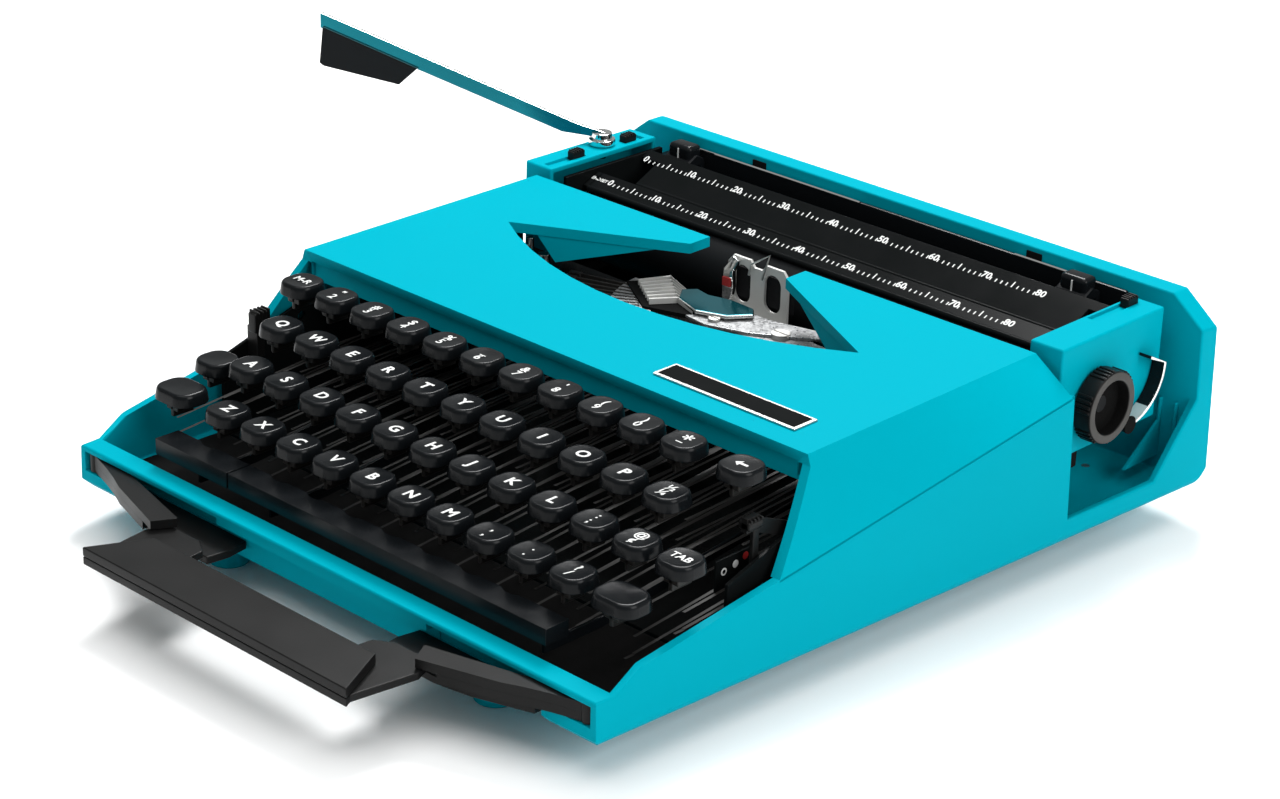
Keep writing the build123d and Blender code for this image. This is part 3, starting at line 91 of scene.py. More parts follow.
class Effects:
    """Shader node groups that several finishes share."""

    @staticmethod
    def feed(tree: bpy.types.NodeTree, node: bpy.types.Node, feeds: dict) -> None:
        """Set or link the inputs of a node.

        Args:
            tree: Node tree that holds the node.
            node: Node to feed.
            feeds: Plain value, or output socket of another node, by input.
        """
        for label, value in feeds.items():
            if isinstance(value, bpy.types.NodeSocket):
                tree.links.new(value, node.inputs[label])
            else:
                node.inputs[label].default_value = value

    @staticmethod
    def node(tree: bpy.types.NodeTree, kind: str, feeds: dict, **settings: object) -> bpy.types.Node:
        """Add a node.

        Args:
            tree: Node tree that takes the node.
            kind: Type of the node, without the prefix that all of them share.
            feeds: Plain value, or output socket of another node, by input.
            settings: The node's own settings, made before it is fed.

        Returns:
            The new node.
        """
        node = tree.nodes.new("ShaderNode" + kind)
        for label, value in settings.items():
            setattr(node, label, value)
        Effects.feed(tree, node, feeds)
        return node

    @staticmethod
    def group(name: str, inputs: dict, outputs: dict) -> tuple:
        """Start a node group.

        Args:
            name: Name of the group.
            inputs: Default by input name: a colour, a vector or a number.
            outputs: Socket type by output name.

        Returns:
            The group, the outputs of its input node, its output node and Object coordinates.
        """
        group = bpy.data.node_groups.new(name, "ShaderNodeTree")
        kinds = {1: "NodeSocketFloat", 3: "NodeSocketVector", 4: "NodeSocketColor"}
        for label, value in inputs.items():
            kind = kinds[len(value) if isinstance(value, tuple) else 1]
            socket = group.interface.new_socket(label, in_out="INPUT", socket_type=kind)
            socket.default_value = value
        for label, kind in outputs.items():
            group.interface.new_socket(label, in_out="OUTPUT", socket_type=kind)
        given = group.nodes.new("NodeGroupInput").outputs
        place = Effects.node(group, "TexCoord", {}).outputs["Object"]
        return group, given, group.nodes.new("NodeGroupOutput"), place

    @staticmethod
    @cache
    def mottle() -> bpy.types.NodeTree:
        """Group that varies a colour and a roughness with soft, uneven patches."""
        inputs = {
            "Color": (0.5, 0.5, 0.5, 1),
            "Shade": (0.4, 0.4, 0.4, 1),
            "Scale": 30.0,
            "Amount": 0.3,
            "Low": 0.3,
            "High": 0.4,
        }
        outputs = {"Color": "NodeSocketColor", "Roughness": "NodeSocketFloat"}
        group, given, out, place = Effects.group("mottle", inputs, outputs)
        noise = Effects.node(group, "TexNoise", {"Vector": place, "Scale": given["Scale"], "Detail": 5.0})
        patches = noise.outputs["Fac"]
        share = Effects.node(group, "Math", {0: patches, 1: given["Amount"]}, operation="MULTIPLY")
        blend = {"Factor": share.outputs[0], "A": given["Color"], "B": given["Shade"]}
        mix = Effects.node(group, "Mix", blend, data_type="RGBA")
        reach = {"From Min": 0.2, "From Max": 0.8, "To Min": given["Low"], "To Max": given["High"]}
        spread = Effects.node(group, "MapRange", {"Value": patches, **reach})
        Effects.feed(group, out, {"Color": mix.outputs["Result"], "Roughness": spread.outputs["Result"]})
        return group

    @staticmethod
    @cache
    def relief() -> bpy.types.NodeTree:
        """Group that gives a fine moulded or brushed height."""
        inputs = {"Scale": 900.0, "Stretch": (1.0, 1.0, 1.0)}
        group, given, out, place = Effects.group("relief", inputs, {"Height": "NodeSocketFloat"})
        stretch = Effects.node(group, "VectorMath", {0: place, 1: given["Stretch"]}, operation="MULTIPLY")
        grain = {"Vector": stretch.outputs["Vector"], "Scale": given["Scale"], "Detail": 3.0}
        noise = Effects.node(group, "TexNoise", grain)
        Effects.feed(group, out, {"Height": noise.outputs["Fac"]})
        return group

    @staticmethod
    @cache
    def spangle() -> bpy.types.NodeTree:
        """Group that gives the crystal patches of zinc plate."""
        inputs = {"Scale": 500.0, "Dark": (0.3, 0.3, 0.3, 1), "Light": (0.8, 0.8, 0.8, 1)}
        outputs = {"Color": "NodeSocketColor", "Roughness": "NodeSocketFloat"}
        group, given, out, place = Effects.group("spangle", inputs, outputs)
        cells = Effects.node(group, "TexVoronoi", {"Vector": place, "Scale": given["Scale"]})
        tone = Effects.node(group, "SeparateColor", {"Color": cells.outputs["Color"]})
        blend = {"Factor": tone.outputs["Red"], "A": given["Dark"], "B": given["Light"]}
        mix = Effects.node(group, "Mix", blend, data_type="RGBA")
        reach = {"Value": tone.outputs["Green"], "To Min": 0.25, "To Max": 0.6}
        spread = Effects.node(group, "MapRange", reach)
        Effects.feed(group, out, {"Color": mix.outputs["Result"], "Roughness": spread.outputs["Result"]})
        return group


@dataclass(frozen=True)
class Finish:
    """One surface finish.

    Attributes:
        name: Name of the material.
        color: Main colour, linear.
        shade: Colour of its darker patches, linear.
        rough: Lowest and highest roughness.
        metal: Metallic share.
        shine: Specular level.
        amount: How far the patches show.
        patch_scale: Patches per metre.
        pattern: Kind of fine relief.
        relief_scale: Relief features per metre.
        relief_depth: Relief height in metres.
        relief_share: How far the relief shows.
        brushing: Stretch of a brushed relief along each axis.
    """

    name: str
    color: tuple
    shade: tuple
    rough: tuple
    metal: float = 0.0
    shine: float = 0.5
    amount: float = 0.4
    patch_scale: float = 25.0
    pattern: Pattern = Pattern.GRAIN
    relief_scale: float = 1500.0
    relief_depth: float = 0.00002
    relief_share: float = 0.5
    brushing: tuple = (0.06, 1.0, 1.0)

    @cache
    def material(self) -> bpy.types.Material:
        """The material of this finish, made once."""
        material = bpy.data.materials.new(self.name)
        material.use_nodes = True
        tree = material.node_tree
        light, dark = (*self.color, 1), (*self.shade, 1)
        if self.pattern is Pattern.SPANGLE:
            patches = {"Scale": self.patch_scale, "Dark": dark, "Light": light}
            look = Effects.node(tree, "Group", patches, node_tree=Effects.spangle())
        else:
            low, top = self.rough
            patches = {"Color": light, "Shade": dark, "Scale": self.patch_scale}
            patches |= {"Amount": self.amount, "Low": low, "High": top}
            look = Effects.node(tree, "Group", patches, node_tree=Effects.mottle())
        grain = {"Scale": self.relief_scale}
        if self.pattern is Pattern.BRUSHED:
            grain["Stretch"] = self.brushing
        relief = Effects.node(tree, "Group", grain, node_tree=Effects.relief())
        height = {"Strength": self.relief_share, "Distance": self.relief_depth}
        bump = Effects.node(tree, "Bump", {**height, "Height": relief.outputs["Height"]})
        surface = {
            "Metallic": self.metal,
            "Specular IOR Level": self.shine,
            "Base Color": look.outputs["Color"],
            "Roughness": look.outputs["Roughness"],
            "Normal": bump.outputs["Normal"],
        }
        Effects.feed(tree, tree.nodes["Principled BSDF"], surface)
        return material


TEAL = Finish("teal_plastic", (0.0, 0.3, 0.385), (0.0, 0.28, 0.36), (0.32, 0.4), shine=0.006,
              amount=0.5, relief_scale=4200.0, relief_depth=0.000008)
KEY_BLACK = Finish("key_black", (0.004, 0.005, 0.006), (0.007, 0.008, 0.009), (0.18, 0.26), shine=0.13,
                   patch_scale=120.0, relief_depth=0.000006)
SATIN_BLACK = Finish("satin_black", (0.006, 0.006, 0.006), (0.01, 0.01, 0.01), (0.3, 0.4), shine=0.12,
                     patch_scale=60.0, relief_scale=2200.0, relief_depth=0.00003)
BLACK_ENAMEL = Finish("gloss_enamel", (0.004, 0.005, 0.005), (0.008, 0.008, 0.009), (0.16, 0.24),
                      shine=0.02, patch_scale=80.0, relief_depth=0.000006)
RUBBER = Finish("roller_rubber", (0.008, 0.009, 0.01), (0.013, 0.014, 0.015), (0.42, 0.55),
                shine=0.06, patch_scale=70.0, relief_scale=3000.0)
# Dead matte black. It is painted shade on the sheet in the keyboard well, the blocks at the latches, the
# underlay of the comb and the insides of the knobs' hollows, and the plain finish of the knob bracket and the
# release lever's boss.
MATTE_BLACK_AND_PAINTED_SHADE = Finish("matte_black_and_painted_shade", (0.004, 0.004, 0.004), (0.008, 0.008, 0.008), (0.85, 0.95), shine=0.05,
              patch_scale=200.0, relief_scale=3500.0, relief_depth=0.0002)
# Steel darkened nearly to black and hardly metallic: painted shade on the key levers, the tongues under the
# caps and the typebars, which stand among the keys and under the hood.
LEVER_STEEL_PAINTED_SHADE = Finish("lever_steel_painted_shade", (0.016, 0.015, 0.014), (0.028, 0.026, 0.024), (0.36, 0.5), metal=0.2,
                     shine=0.25, patch_scale=150.0, pattern=Pattern.BRUSHED)
BRIGHT_STEEL = Finish("brushed_steel", (0.6, 0.59, 0.57), (0.4, 0.38, 0.36), (0.3, 0.5), metal=1.0,
                      patch_scale=160.0, pattern=Pattern.BRUSHED)
CHROME = Finish("mirror_chrome", (0.74, 0.74, 0.73), (0.62, 0.62, 0.61), (0.04, 0.1), metal=1.0,
                patch_scale=60.0, relief_depth=0.000004)
# Mirror metal with the hood's teal and dark patches painted into its colour: painted reflection on the return
# lever's strip and on the top of the type guide.
TEAL_PAINTED_REFLECTION = Finish("teal_painted_reflection", (0.01, 0.24, 0.3), (0.0, 0.05, 0.065), (0.1, 0.2), metal=0.85,
                     amount=1.0, patch_scale=14.0, relief_depth=0.000004)
ZINC = Finish("spangled_zinc", (0.4, 0.405, 0.41), (0.25, 0.255, 0.26), (0.3, 0.5), metal=0.8,
              patch_scale=1300.0, pattern=Pattern.SPANGLE)
# Pale, half-matte steel, lighter than the bright metal of the parts that take it: painted reflection on the
# ribbon fork and the comb strips, painted highlight on the release lever's low upward faces.
PALE_STEEL_PAINTED_REFLECTION = Finish("pale_steel_painted_reflection", (0.6, 0.6, 0.58), (0.48, 0.48, 0.46), (0.35, 0.5), metal=0.4,
                    patch_scale=200.0, pattern=Pattern.BRUSHED)
WHITE_PRINT = Finish("white_print", (0.62, 0.63, 0.62), (0.54, 0.54, 0.53), (0.4, 0.55), patch_scale=400.0)
RED_PRINT = Finish("red_print", (0.34, 0.015, 0.015), (0.24, 0.01, 0.01), (0.4, 0.55), patch_scale=400.0)
GREY_PLASTIC = Finish("grey_plastic", (0.036, 0.034, 0.031), (0.028, 0.026, 0.024), (0.4, 0.55), shine=0.2,
                      patch_scale=120.0, relief_scale=2600.0)
RIBBON_INK = Finish("ribbon_ink", (0.005, 0.005, 0.006), (0.009, 0.009, 0.01), (0.6, 0.75),
                    shine=0.15, patch_scale=300.0, relief_scale=4000.0)


class Bench:
    """Operator calls that work on one object at a time."""

    @staticmethod
    def clear() -> None:
        """Leave edit mode and deselect everything."""
        if bpy.context.object and bpy.context.object.mode != "OBJECT":
            bpy.ops.object.mode_set(mode="OBJECT")
        bpy.ops.object.select_all(action="DESELECT")

    @staticmethod
    def take(piece: bpy.types.Object) -> None:
        """Select one object alone and make it active.

        Args:
            piece: Object to work on.
        """
        Bench.clear()
        piece.select_set(True)
        bpy.context.view_layer.objects.active = piece

    @staticmethod
    @contextmanager
    def editing(piece: bpy.types.Object, action: str = "SELECT") -> Iterator[None]:
        """Stay in edit mode on one object.

        Args:
            piece: Mesh object.
            action: Whether to start with everything selected or deselected.

        Returns:
            A context that ends in object mode.
        """
        Bench.take(piece)
        bpy.ops.object.mode_set(mode="EDIT")
        bpy.ops.mesh.select_all(action=action)
        yield
        bpy.ops.object.mode_set(mode="OBJECT")

    @staticmethod
    def settle(piece: bpy.types.Object) -> bpy.types.Object:
        """Move an object's place into its mesh.

        Args:
            piece: Object that was moved or scaled.

        Returns:
            The same object.
        """
        Bench.take(piece)
        bpy.ops.object.transform_apply(location=True, rotation=True, scale=True)
        return piece

    @staticmethod
    def named(name: str) -> bpy.types.Object:
        """Name the active object and its mesh.

        Args:
            name: Name of the piece.

        Returns:
            The active object.
        """
        piece = bpy.context.view_layer.objects.active
        piece.name = name
        piece.data.name = name
        return piece

    @staticmethod
    def box(name: str, low: Vector, top: Vector) -> bpy.types.Object:
        """Block between two corners.

        Args:
            name: Name of the piece.
            low: Its lowest corner.
            top: Its highest corner.

        Returns:
            The block, with its place in its mesh.
        """
        Bench.clear()
        bpy.ops.mesh.primitive_cube_add(size=1.0, location=(low + top) / 2)
        piece = Bench.named(name)
        piece.scale = top - low
        return Bench.settle(piece)

    @staticmethod
    def drum(name: str, start: Vector, end: Vector, radius: float, sides: int = 24) -> bpy.types.Object:
        """Cylinder between two points.

        Args:
            name: Name of the piece.
            start: Middle of one end.
            end: Middle of the other end.
            radius: Radius in millimetres.
            sides: Number of side faces.

        Returns:
            The cylinder, with its place in its mesh.
        """
        Bench.clear()
        run = end - start
        bpy.ops.mesh.primitive_cylinder_add(vertices=sides, radius=radius * MM, depth=run.length)
        piece = Bench.named(name)
        turn = run.to_track_quat("Z", "Y").to_matrix().to_4x4()
        piece.data.transform(Matrix.Translation((start + end) / 2) @ turn)
        return piece

    @staticmethod
    def plate(name: str, corners: list, sweep: Vector) -> bpy.types.Object:
        """Flat outline swept along a direction.

        Args:
            name: Name of the piece.
            corners: Points of the outline in order.
            sweep: Direction and thickness of the sweep.

        Returns:
            The closed solid.
        """
        Bench.clear()
        bpy.ops.mesh.primitive_circle_add(vertices=len(corners), fill_type="NGON")
        piece = Bench.named(name)
        for vertex, corner in zip(piece.data.vertices, corners):
            vertex.co = corner
        with Bench.editing(piece):
            bpy.ops.mesh.extrude_region_move(TRANSFORM_OT_translate={"value": sweep})
            bpy.ops.mesh.select_all(action="SELECT")
            bpy.ops.mesh.normals_make_consistent(inside=False)
        return piece

    @staticmethod
    def copied(node: str, name: str) -> bpy.types.Object:
        """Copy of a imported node's mesh, with its points merged and flat areas joined into single faces.

        Args:
            node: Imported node.
            name: Name of the piece.

        Returns:
            The copy, without a finish.
        """
        piece = bpy.data.objects.new(name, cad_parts[node].data.copy())
        piece.data.name = name
        piece.data.materials.clear()
        bpy.context.scene.collection.objects.link(piece)
        with Bench.editing(piece):
            bpy.ops.mesh.remove_doubles(threshold=0.000005)
            bpy.ops.mesh.dissolve_limited(angle_limit=math.radians(0.8))
        return piece

    @staticmethod
    def round_edges(
        piece: bpy.types.Object,
        width: float,
        segments: int = 2,
        shortest: float = 0.0,
        angle: float = 25.0,
        roomy: bool = False,
        kept: Callable | None = None,
    ) -> bpy.types.Object:
        """Round the sharp edges of a piece.

        Args:
            piece: Mesh object.
            width: Width of the rounding in millimetres.
            segments: Faces across the rounding.
            shortest: Edges shorter than this, in millimetres, stay sharp.
            angle: Least angle between faces, in degrees.
            roomy: Whether edges that end beside short ones stay sharp.
            kept: Test of an edge's middle that stays sharp.

        Returns:
            The same piece.
        """
        width *= MM
        with Bench.editing(piece, "DESELECT"):
            bpy.ops.mesh.select_mode(type="EDGE")
            mesh = bmesh.from_edit_mesh(piece.data)
            for edge in mesh.edges:
                sharp = len(edge.link_faces) == 2 and edge.calc_face_angle(0.0) > math.radians(angle)
                near = [side.calc_length() for corner in edge.verts for side in corner.link_edges]
                tight = roomy and min(near) < 2 * width
                if kept and kept((edge.verts[0].co + edge.verts[1].co) / 2):
                    continue
                edge.select_set(sharp and not tight and edge.calc_length() >= shortest * MM)
            bmesh.update_edit_mesh(piece.data)
            bpy.ops.mesh.bevel(offset=width, segments=segments, affect="EDGES", clamp_overlap=True)
            bpy.ops.mesh.select_mode(type="VERT")
        return piece

    @staticmethod
    def smooth(piece: bpy.types.Object) -> None:
        """Shade a piece smooth where its faces meet gently, with its flat faces kept flat.

        Args:
            piece: Mesh object.
        """
        Bench.take(piece)
        bpy.ops.object.shade_smooth_by_angle(angle=SMOOTH_ANGLE)
        modifier = piece.modifiers.new("weigh", "WEIGHTED_NORMAL")
        modifier.keep_sharp = True
        Bench.apply(piece, modifier)

    @staticmethod
    def apply(piece: bpy.types.Object, modifier: bpy.types.Modifier) -> None:
        """Apply one modifier."""
        Bench.take(piece)
        bpy.ops.object.modifier_apply(modifier=modifier.name)

    @staticmethod
    def cut(piece: bpy.types.Object, tool: bpy.types.Object) -> None:
        """Cut one solid out of another and throw the tool away.

        Args:
            piece: Solid that is cut.
            tool: Solid that is taken out of it.
        """
        modifier = piece.modifiers.new("cut", "BOOLEAN")
        modifier.operation = "DIFFERENCE"
        modifier.solver = "EXACT"
        modifier.object = tool
        Bench.apply(piece, modifier)
        bpy.data.objects.remove(tool, do_unlink=True)

    @staticmethod
    def bisect(piece: bpy.types.Object, point: Vector, normal: Vector) -> None:
        """Cut away what lies beyond a plane and close the cut."""
        with Bench.editing(piece):
            bpy.ops.mesh.bisect(plane_co=point, plane_no=normal, use_fill=True, clear_outer=True)

    @staticmethod
    def paint(piece: bpy.types.Object, finish: Finish) -> bpy.types.Object:
        """Give a piece one finish.

        Args:
            piece: Mesh object.
            finish: Its finish.

        Returns:
            The same piece.
        """
        piece.data.materials.clear()
        piece.data.materials.append(finish.material())
        return piece

    @staticmethod
    def tint(piece: bpy.types.Object, finish: Finish, chosen: Callable) -> bpy.types.Object:
        """Give some faces of a piece another finish.

        Args:
            piece: Mesh object that has a finish already.
            finish: Finish of the chosen faces.
            chosen: Test of a face's middle and normal.

        Returns:
            The same piece.
        """
        piece.data.materials.append(finish.material())
        place = len(piece.data.materials) - 1
        for face in piece.data.polygons:
            if chosen(face.center, face.normal):
                face.material_index = place
        return piece

    @staticmethod
    def wire(name: str, points: list, radius: float, finish: Finish) -> bpy.types.Object:
        """Round wire through points.

        Args:
            name: Name of the piece.
            points: Points of its middle line.
            radius: Radius in millimetres.
            finish: Its finish.

        Returns:
            The wire, as a mesh.
        """
        curve = bpy.data.curves.new(name, "CURVE")
        curve.dimensions = "3D"
        curve.bevel_depth = radius * MM
        curve.bevel_resolution = 3
        curve.use_fill_caps = True
        spline = curve.splines.new("POLY")
        spline.points.add(len(points) - 1)
        for knot, point in zip(spline.points, points):
            knot.co = (*point, 1.0)
        strand = bpy.data.objects.new(name, curve)
        bpy.context.scene.collection.objects.link(strand)
        Bench.take(strand)
        bpy.ops.object.convert(target="MESH")
        return Bench.paint(bpy.context.object, finish)

    @staticmethod
    def cuboid(name: str, ends: tuple, x: float = 0.0) -> bpy.types.Object:
        """Plain block between a low and a high X, depth and height, moved along X, in millimetres."""
        (x_low, x_high), (near, far), (low, top) = ends
        return Bench.box(name, spot(x + x_low, near, low), spot(x + x_high, far, top))

    @staticmethod
    def slab(name: str, outline: list, low: float, top: float) -> bpy.types.Object:
        """Plain level plate with an outline of X and depth, between two heights, in millimetres."""
        corners = [spot(x, depth, low) for x, depth in outline]
        return Bench.plate(name, corners, span(0, 0, top - low))

    @staticmethod
    def block(
        name: str, ends: tuple, finish: Finish, width: float = 0.3, x: float = 0.0
    ) -> bpy.types.Object:
        """Finished block with softened edges.

        Args:
            name: Name of the piece.
            ends: Low and high X, depth and height in millimetres.
            finish: Its finish.
            width: Width of the softened edges in millimetres.
            x: How far the block is moved along X, in millimetres.

        Returns:
            The block.
        """
        piece = Bench.cuboid(name, ends, x)
        if width:
            Bench.round_edges(piece, width)
        return Bench.paint(piece, finish)

    @staticmethod
    def ribs(first: tuple, step: float, width: float, x: float = 0.0, count: int = 4) -> list:
        """Row of black ribs across a finger tab.

        Args:
            first: Ends of the nearest rib, as for a block.
            step: How far each rib stands behind the one before, in millimetres.
            width: Width of the softened edges in millimetres.
            x: How far the row is moved along X, in millimetres.
            count: Number of ribs.

        Returns:
            The ribs.
        """
        across, (near, far), heights = first
        ribs = []
        for place in range(count):
            ends = (across, (near + step * place, far + step * place), heights)
            ribs.append(Bench.block("rib", ends, SATIN_BLACK, width, x))
        return ribs

    @staticmethod
    def pin(start: Vector, end: Vector, radius: float, finish: Finish, sides: int = 24) -> bpy.types.Object:
        """Finished round pin, boss or roller with softened ends.

        Args:
            start: Middle of one end.
            end: Middle of the other end.
            radius: Radius in millimetres.
            finish: Its finish.
            sides: Number of side faces.

        Returns:
            The pin.
        """
        pin = Bench.drum("pin", start, end, radius, sides)
        return Bench.paint(Bench.round_edges(pin, 0.4), finish)

    @staticmethod
    def dressed(
        node: str,
        finish: Finish,
        width: float,
        shortest: float = 0.0,
        segments: int = 2,
        angle: float = 25.0,
    ) -> bpy.types.Object:
        """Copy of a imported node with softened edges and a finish.

        Args:
            node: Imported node.
            finish: Its finish.
            width: Width of the softened edges in millimetres.
            shortest: Edges shorter than this, in millimetres, stay sharp.
            segments: Faces across the rounding.
            angle: Least angle between faces, in degrees.

        Returns:
            The copy, named for the node.
        """
        piece = Bench.copied(node, node + "_dressed")
        if width:
            Bench.round_edges(piece, width, segments, shortest, angle)
        return Bench.paint(piece, finish)

    @staticmethod
    def join(name: str, parts: list) -> bpy.types.Object:
        """Join parts, with their materials, into one object.

        Args:
            name: Name of the joined piece.
            parts: Mesh objects, of which the first takes in the others.

        Returns:
            The joined piece.
        """
        Bench.clear()
        for part in parts:
            part.select_set(True)
        bpy.context.view_layer.objects.active = parts[0]
        if len(parts) > 1:
            bpy.ops.object.join()
        return Bench.named(name)

    @staticmethod
    def twin(piece: bpy.types.Object, place: Matrix) -> bpy.types.Object:
        """Copy of a piece with its own mesh.

        Args:
            piece: Piece to copy.
            place: Matrix that moves the copy.

        Returns:
            The copy.
        """
        copy = piece.copy()
        copy.data = piece.data.copy()
        bpy.context.scene.collection.objects.link(copy)
        copy.data.transform(place)
        return copy

    @staticmethod
    def words(text: str, size: float, weight: float, place: Matrix) -> bpy.types.Object:
        """Thin printed characters.

        Args:
            text: Characters.
            size: Font size in millimetres.
            weight: Outward offset of the strokes in millimetres.
            place: Matrix from the text's own plane, centred, to its place.

        Returns:
            A white mesh object.
        """
        Bench.clear()
        bpy.ops.object.text_add()
        letters = bpy.context.object.data
        letters.body = text
        letters.size = size * MM
        letters.offset = weight * MM
        letters.resolution_u = 3
        letters.extrude = 0.00003
        letters.align_x = "CENTER"
        letters.align_y = "CENTER"
        bpy.ops.object.convert(target="MESH")
        piece = bpy.context.object
        piece.data.transform(place)
        return Bench.paint(piece, WHITE_PRINT)

    @staticmethod
    def seat(name: str, parts: list, body: str, *nodes: str, slot: str = "") -> None:
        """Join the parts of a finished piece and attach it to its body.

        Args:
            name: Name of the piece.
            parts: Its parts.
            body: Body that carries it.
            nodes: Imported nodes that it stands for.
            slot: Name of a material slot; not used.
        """
        piece = Bench.join(name, parts)
        Bench.smooth(piece)
        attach(piece, body)
        if nodes:
            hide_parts(*nodes)
        LOG.info("%s rides on %s", piece.name, body)


@dataclass
class Shells:
    """Lower shell, top cover, feet and the plain trim on them."""

    shortest: float = 5.0
    shell_rounding: float = 0.8
    hood_rounding: float = 1.1
    foot_rounding: float = 0.9
    front_half: float = 130.0
    flare: float = 18.0
    draft: float = 0.035
    joint_start: tuple = (18.0, 22.5)
    joint_end: tuple = (222.0, 56.0)
    joint_reach: float = 4.0
    front_recess: tuple = (9.0, 16.0)
    seam_depths: tuple = (79.0, 223.0)
    seam_edges: tuple = (-0.9, 0.2)
    seam_cut: float = 0.8
    seam_tool: float = 4.0
    # Dead black blocks just below the rear wall's rim at the latches: painted shade standing for the notches
    # there.
    latch_shade_x: tuple = (-69.0, 69.0)
    latch_shade_block: tuple = ((-3.5, 3.5), (293.4, 295.0), (67.0, 71.0))
    rib_x: tuple = (131.0, 138.0)
    rib: tuple = ((-0.7, 0.7), (292.4, 294.2), (14.0, 32.0))
    gusset: tuple = ((130.5, 273.0, 9.0), (130.5, 294.5, 24.5), (130.5, 294.5, 9.0))
    gusset_wall: float = 1.2
    web: tuple = ((78.0, 182.5, 64.0), (34.0, 206.0, 64.0), (71.0, 186.2, 53.0))
    web_wall: tuple = (1.0, 2.2)
    hood_recess: tuple = ((-119.9, 119.9), (100.0, 102.8), (50.0, 63.2))
    hood_front: tuple = ((-120.0, 120.0), (102.6, 104.4), (55.5, 63.4))
    plate_rim: tuple = ((45.5, 109.5), (111.0, 122.8), (66.9, 67.7))
    plate_face: tuple = ((46.7, 108.3), (112.2, 121.6), (67.0, 67.85))
    # Ends of the dead black sheet on the floor of the keyboard well: painted shade under the keys, laid over
    # the teal floor.
    matte_black_and_painted_shade: tuple = ((-126.0, 126.0), (8.6, 61.0), (3.1, 4.2))
    tab: tuple = ((-122.0, -117.5), (71.5, 79.0), (42.5, 50.5))
    tab_stem: tuple = ((-125.0, -119.0), (73.5, 77.0), (32.0, 44.0))
    tab_rib: tuple = ((-122.1, -117.4), (72.4, 73.3), (48.0, 51.2))
    tab_rib_step: float = 1.75

    def joint(self, depth: float) -> float:
        """Height of the joint of the hood and the shell at a depth."""
        (near, low), (far, top) = self.joint_start, self.joint_end
        return low + (top - low) / (far - near) * (depth - near)

    def seam(self, side: int) -> bpy.types.Object:
        """Cutter for the groove along the joint of the hood and the shell.

        Args:
            side: -1 on the left, 1 on the right.

        Returns:
            The cutter.
        """
        near, far = self.seam_depths
        low, top = self.seam_edges
        corners = []
        for depth, rise in ((near, low), (far, low), (far, top), (near, top)):
            height = self.joint(depth) + rise
            flank = self.front_half + self.flare / SHELL_DEPTH * depth - self.draft * height
            corners.append(spot(side * (flank - self.seam_cut), depth, height))
        return Bench.plate("seam", corners, span(side * self.seam_tool, 0, 0))

    def stays_sharp(self, middle: Vector) -> bool:
        """Whether an edge of the shell lies round the front recess or along the joint with the hood.

        Args:
            middle: Middle of the edge.

        Returns:
            True if the edge isn't rounded.
        """
        depth = middle.y / MM + SHELL_DEPTH / 2
        height = middle.z / MM - FOOT_HEIGHT
        along = self.seam_depths[0] < depth < self.joint_end[0]
        at_joint = along and abs(height - self.joint(depth)) < self.joint_reach
        recess_depth, recess_top = self.front_recess
        return at_joint or (depth < recess_depth and height < recess_top)

    def lower_shell(self) -> None:
        """Shell tray with its rounded edges, and the black blocks of painted shade at the latches, the ribs
        and the gusset of its rear wall.
        """
        shell = Bench.copied("lower_shell", "lower_shell_skin")
        Bench.round_edges(shell, self.shell_rounding, 3, self.shortest, roomy=True, kept=self.stays_sharp)
        for side in SIDES:
            Bench.cut(shell, self.seam(side))
        parts = [Bench.paint(shell, TEAL)]
        # Painted shade: dead black blocks at the latches.
        parts += [Bench.block("latch_shade_block", self.latch_shade_block, MATTE_BLACK_AND_PAINTED_SHADE, 0.2, x) for x in self.latch_shade_x]
        parts += [Bench.block("rib", self.rib, TEAL, 0.5, x) for x in self.rib_x]
        corners = [spot(*corner) for corner in self.gusset]
        gusset = Bench.plate("gusset", corners, span(self.gusset_wall, 0, 0))
        parts.append(Bench.paint(gusset, TEAL))
        Bench.seat("lower_shell_skin", parts, "shell", "lower_shell", slot="shell_plastic")

    def flap_web(self, side: int) -> bpy.types.Object:
        """Stiffening web under the edge of one flap.

        Args:
            side: -1 on the left, 1 on the right.

        Returns:
            The web.
        """
        corners = [spot(TYPE_X + side * x, depth, height) for x, depth, height in self.web]
        across, along = self.web_wall
        return Bench.paint(Bench.plate("web", corners, span(side * across, along, 0)), TEAL)

    def top_cover(self) -> None:
        """Hood with its flaps, their webs and a bare name plate."""
        cover = Bench.copied("top_cover", "top_cover_skin")
        Bench.round_edges(cover, self.hood_rounding, 3, self.shortest, roomy=True)
        Bench.cut(cover, Bench.cuboid("recess", self.hood_recess))
        parts = [Bench.paint(cover, TEAL), Bench.block("hood_front", self.hood_front, TEAL, 0.2)]
        parts += [self.flap_web(side) for side in SIDES]
        Bench.seat("top_cover_skin", parts, "shell", "top_cover", slot="shell_plastic")
        rim = Bench.block("plate_rim", self.plate_rim, BRIGHT_STEEL)
        face = Bench.block("plate_face", self.plate_face, BLACK_ENAMEL, 0.1)
        Bench.seat("name_plate", [rim, face], "shell")

    def trim(self) -> None:
        """Dead black sheet of painted shade on the floor of the keyboard well, and the touch tab on the left.
        """
        # Painted shade: a dead black sheet over the teal floor of the keyboard well.
        Bench.seat("painted_shade_sheet", [Bench.block("matte_black_and_painted_shade", self.matte_black_and_painted_shade, MATTE_BLACK_AND_PAINTED_SHADE)], "shell")
        parts = [Bench.block("tab", self.tab, SATIN_BLACK, 0.8)]
        parts.append(Bench.block("stem", self.tab_stem, SATIN_BLACK, 0.4))
        parts += Bench.ribs(self.tab_rib, self.tab_rib_step, 0.25)
        Bench.seat("touch_tab", parts, "shell")

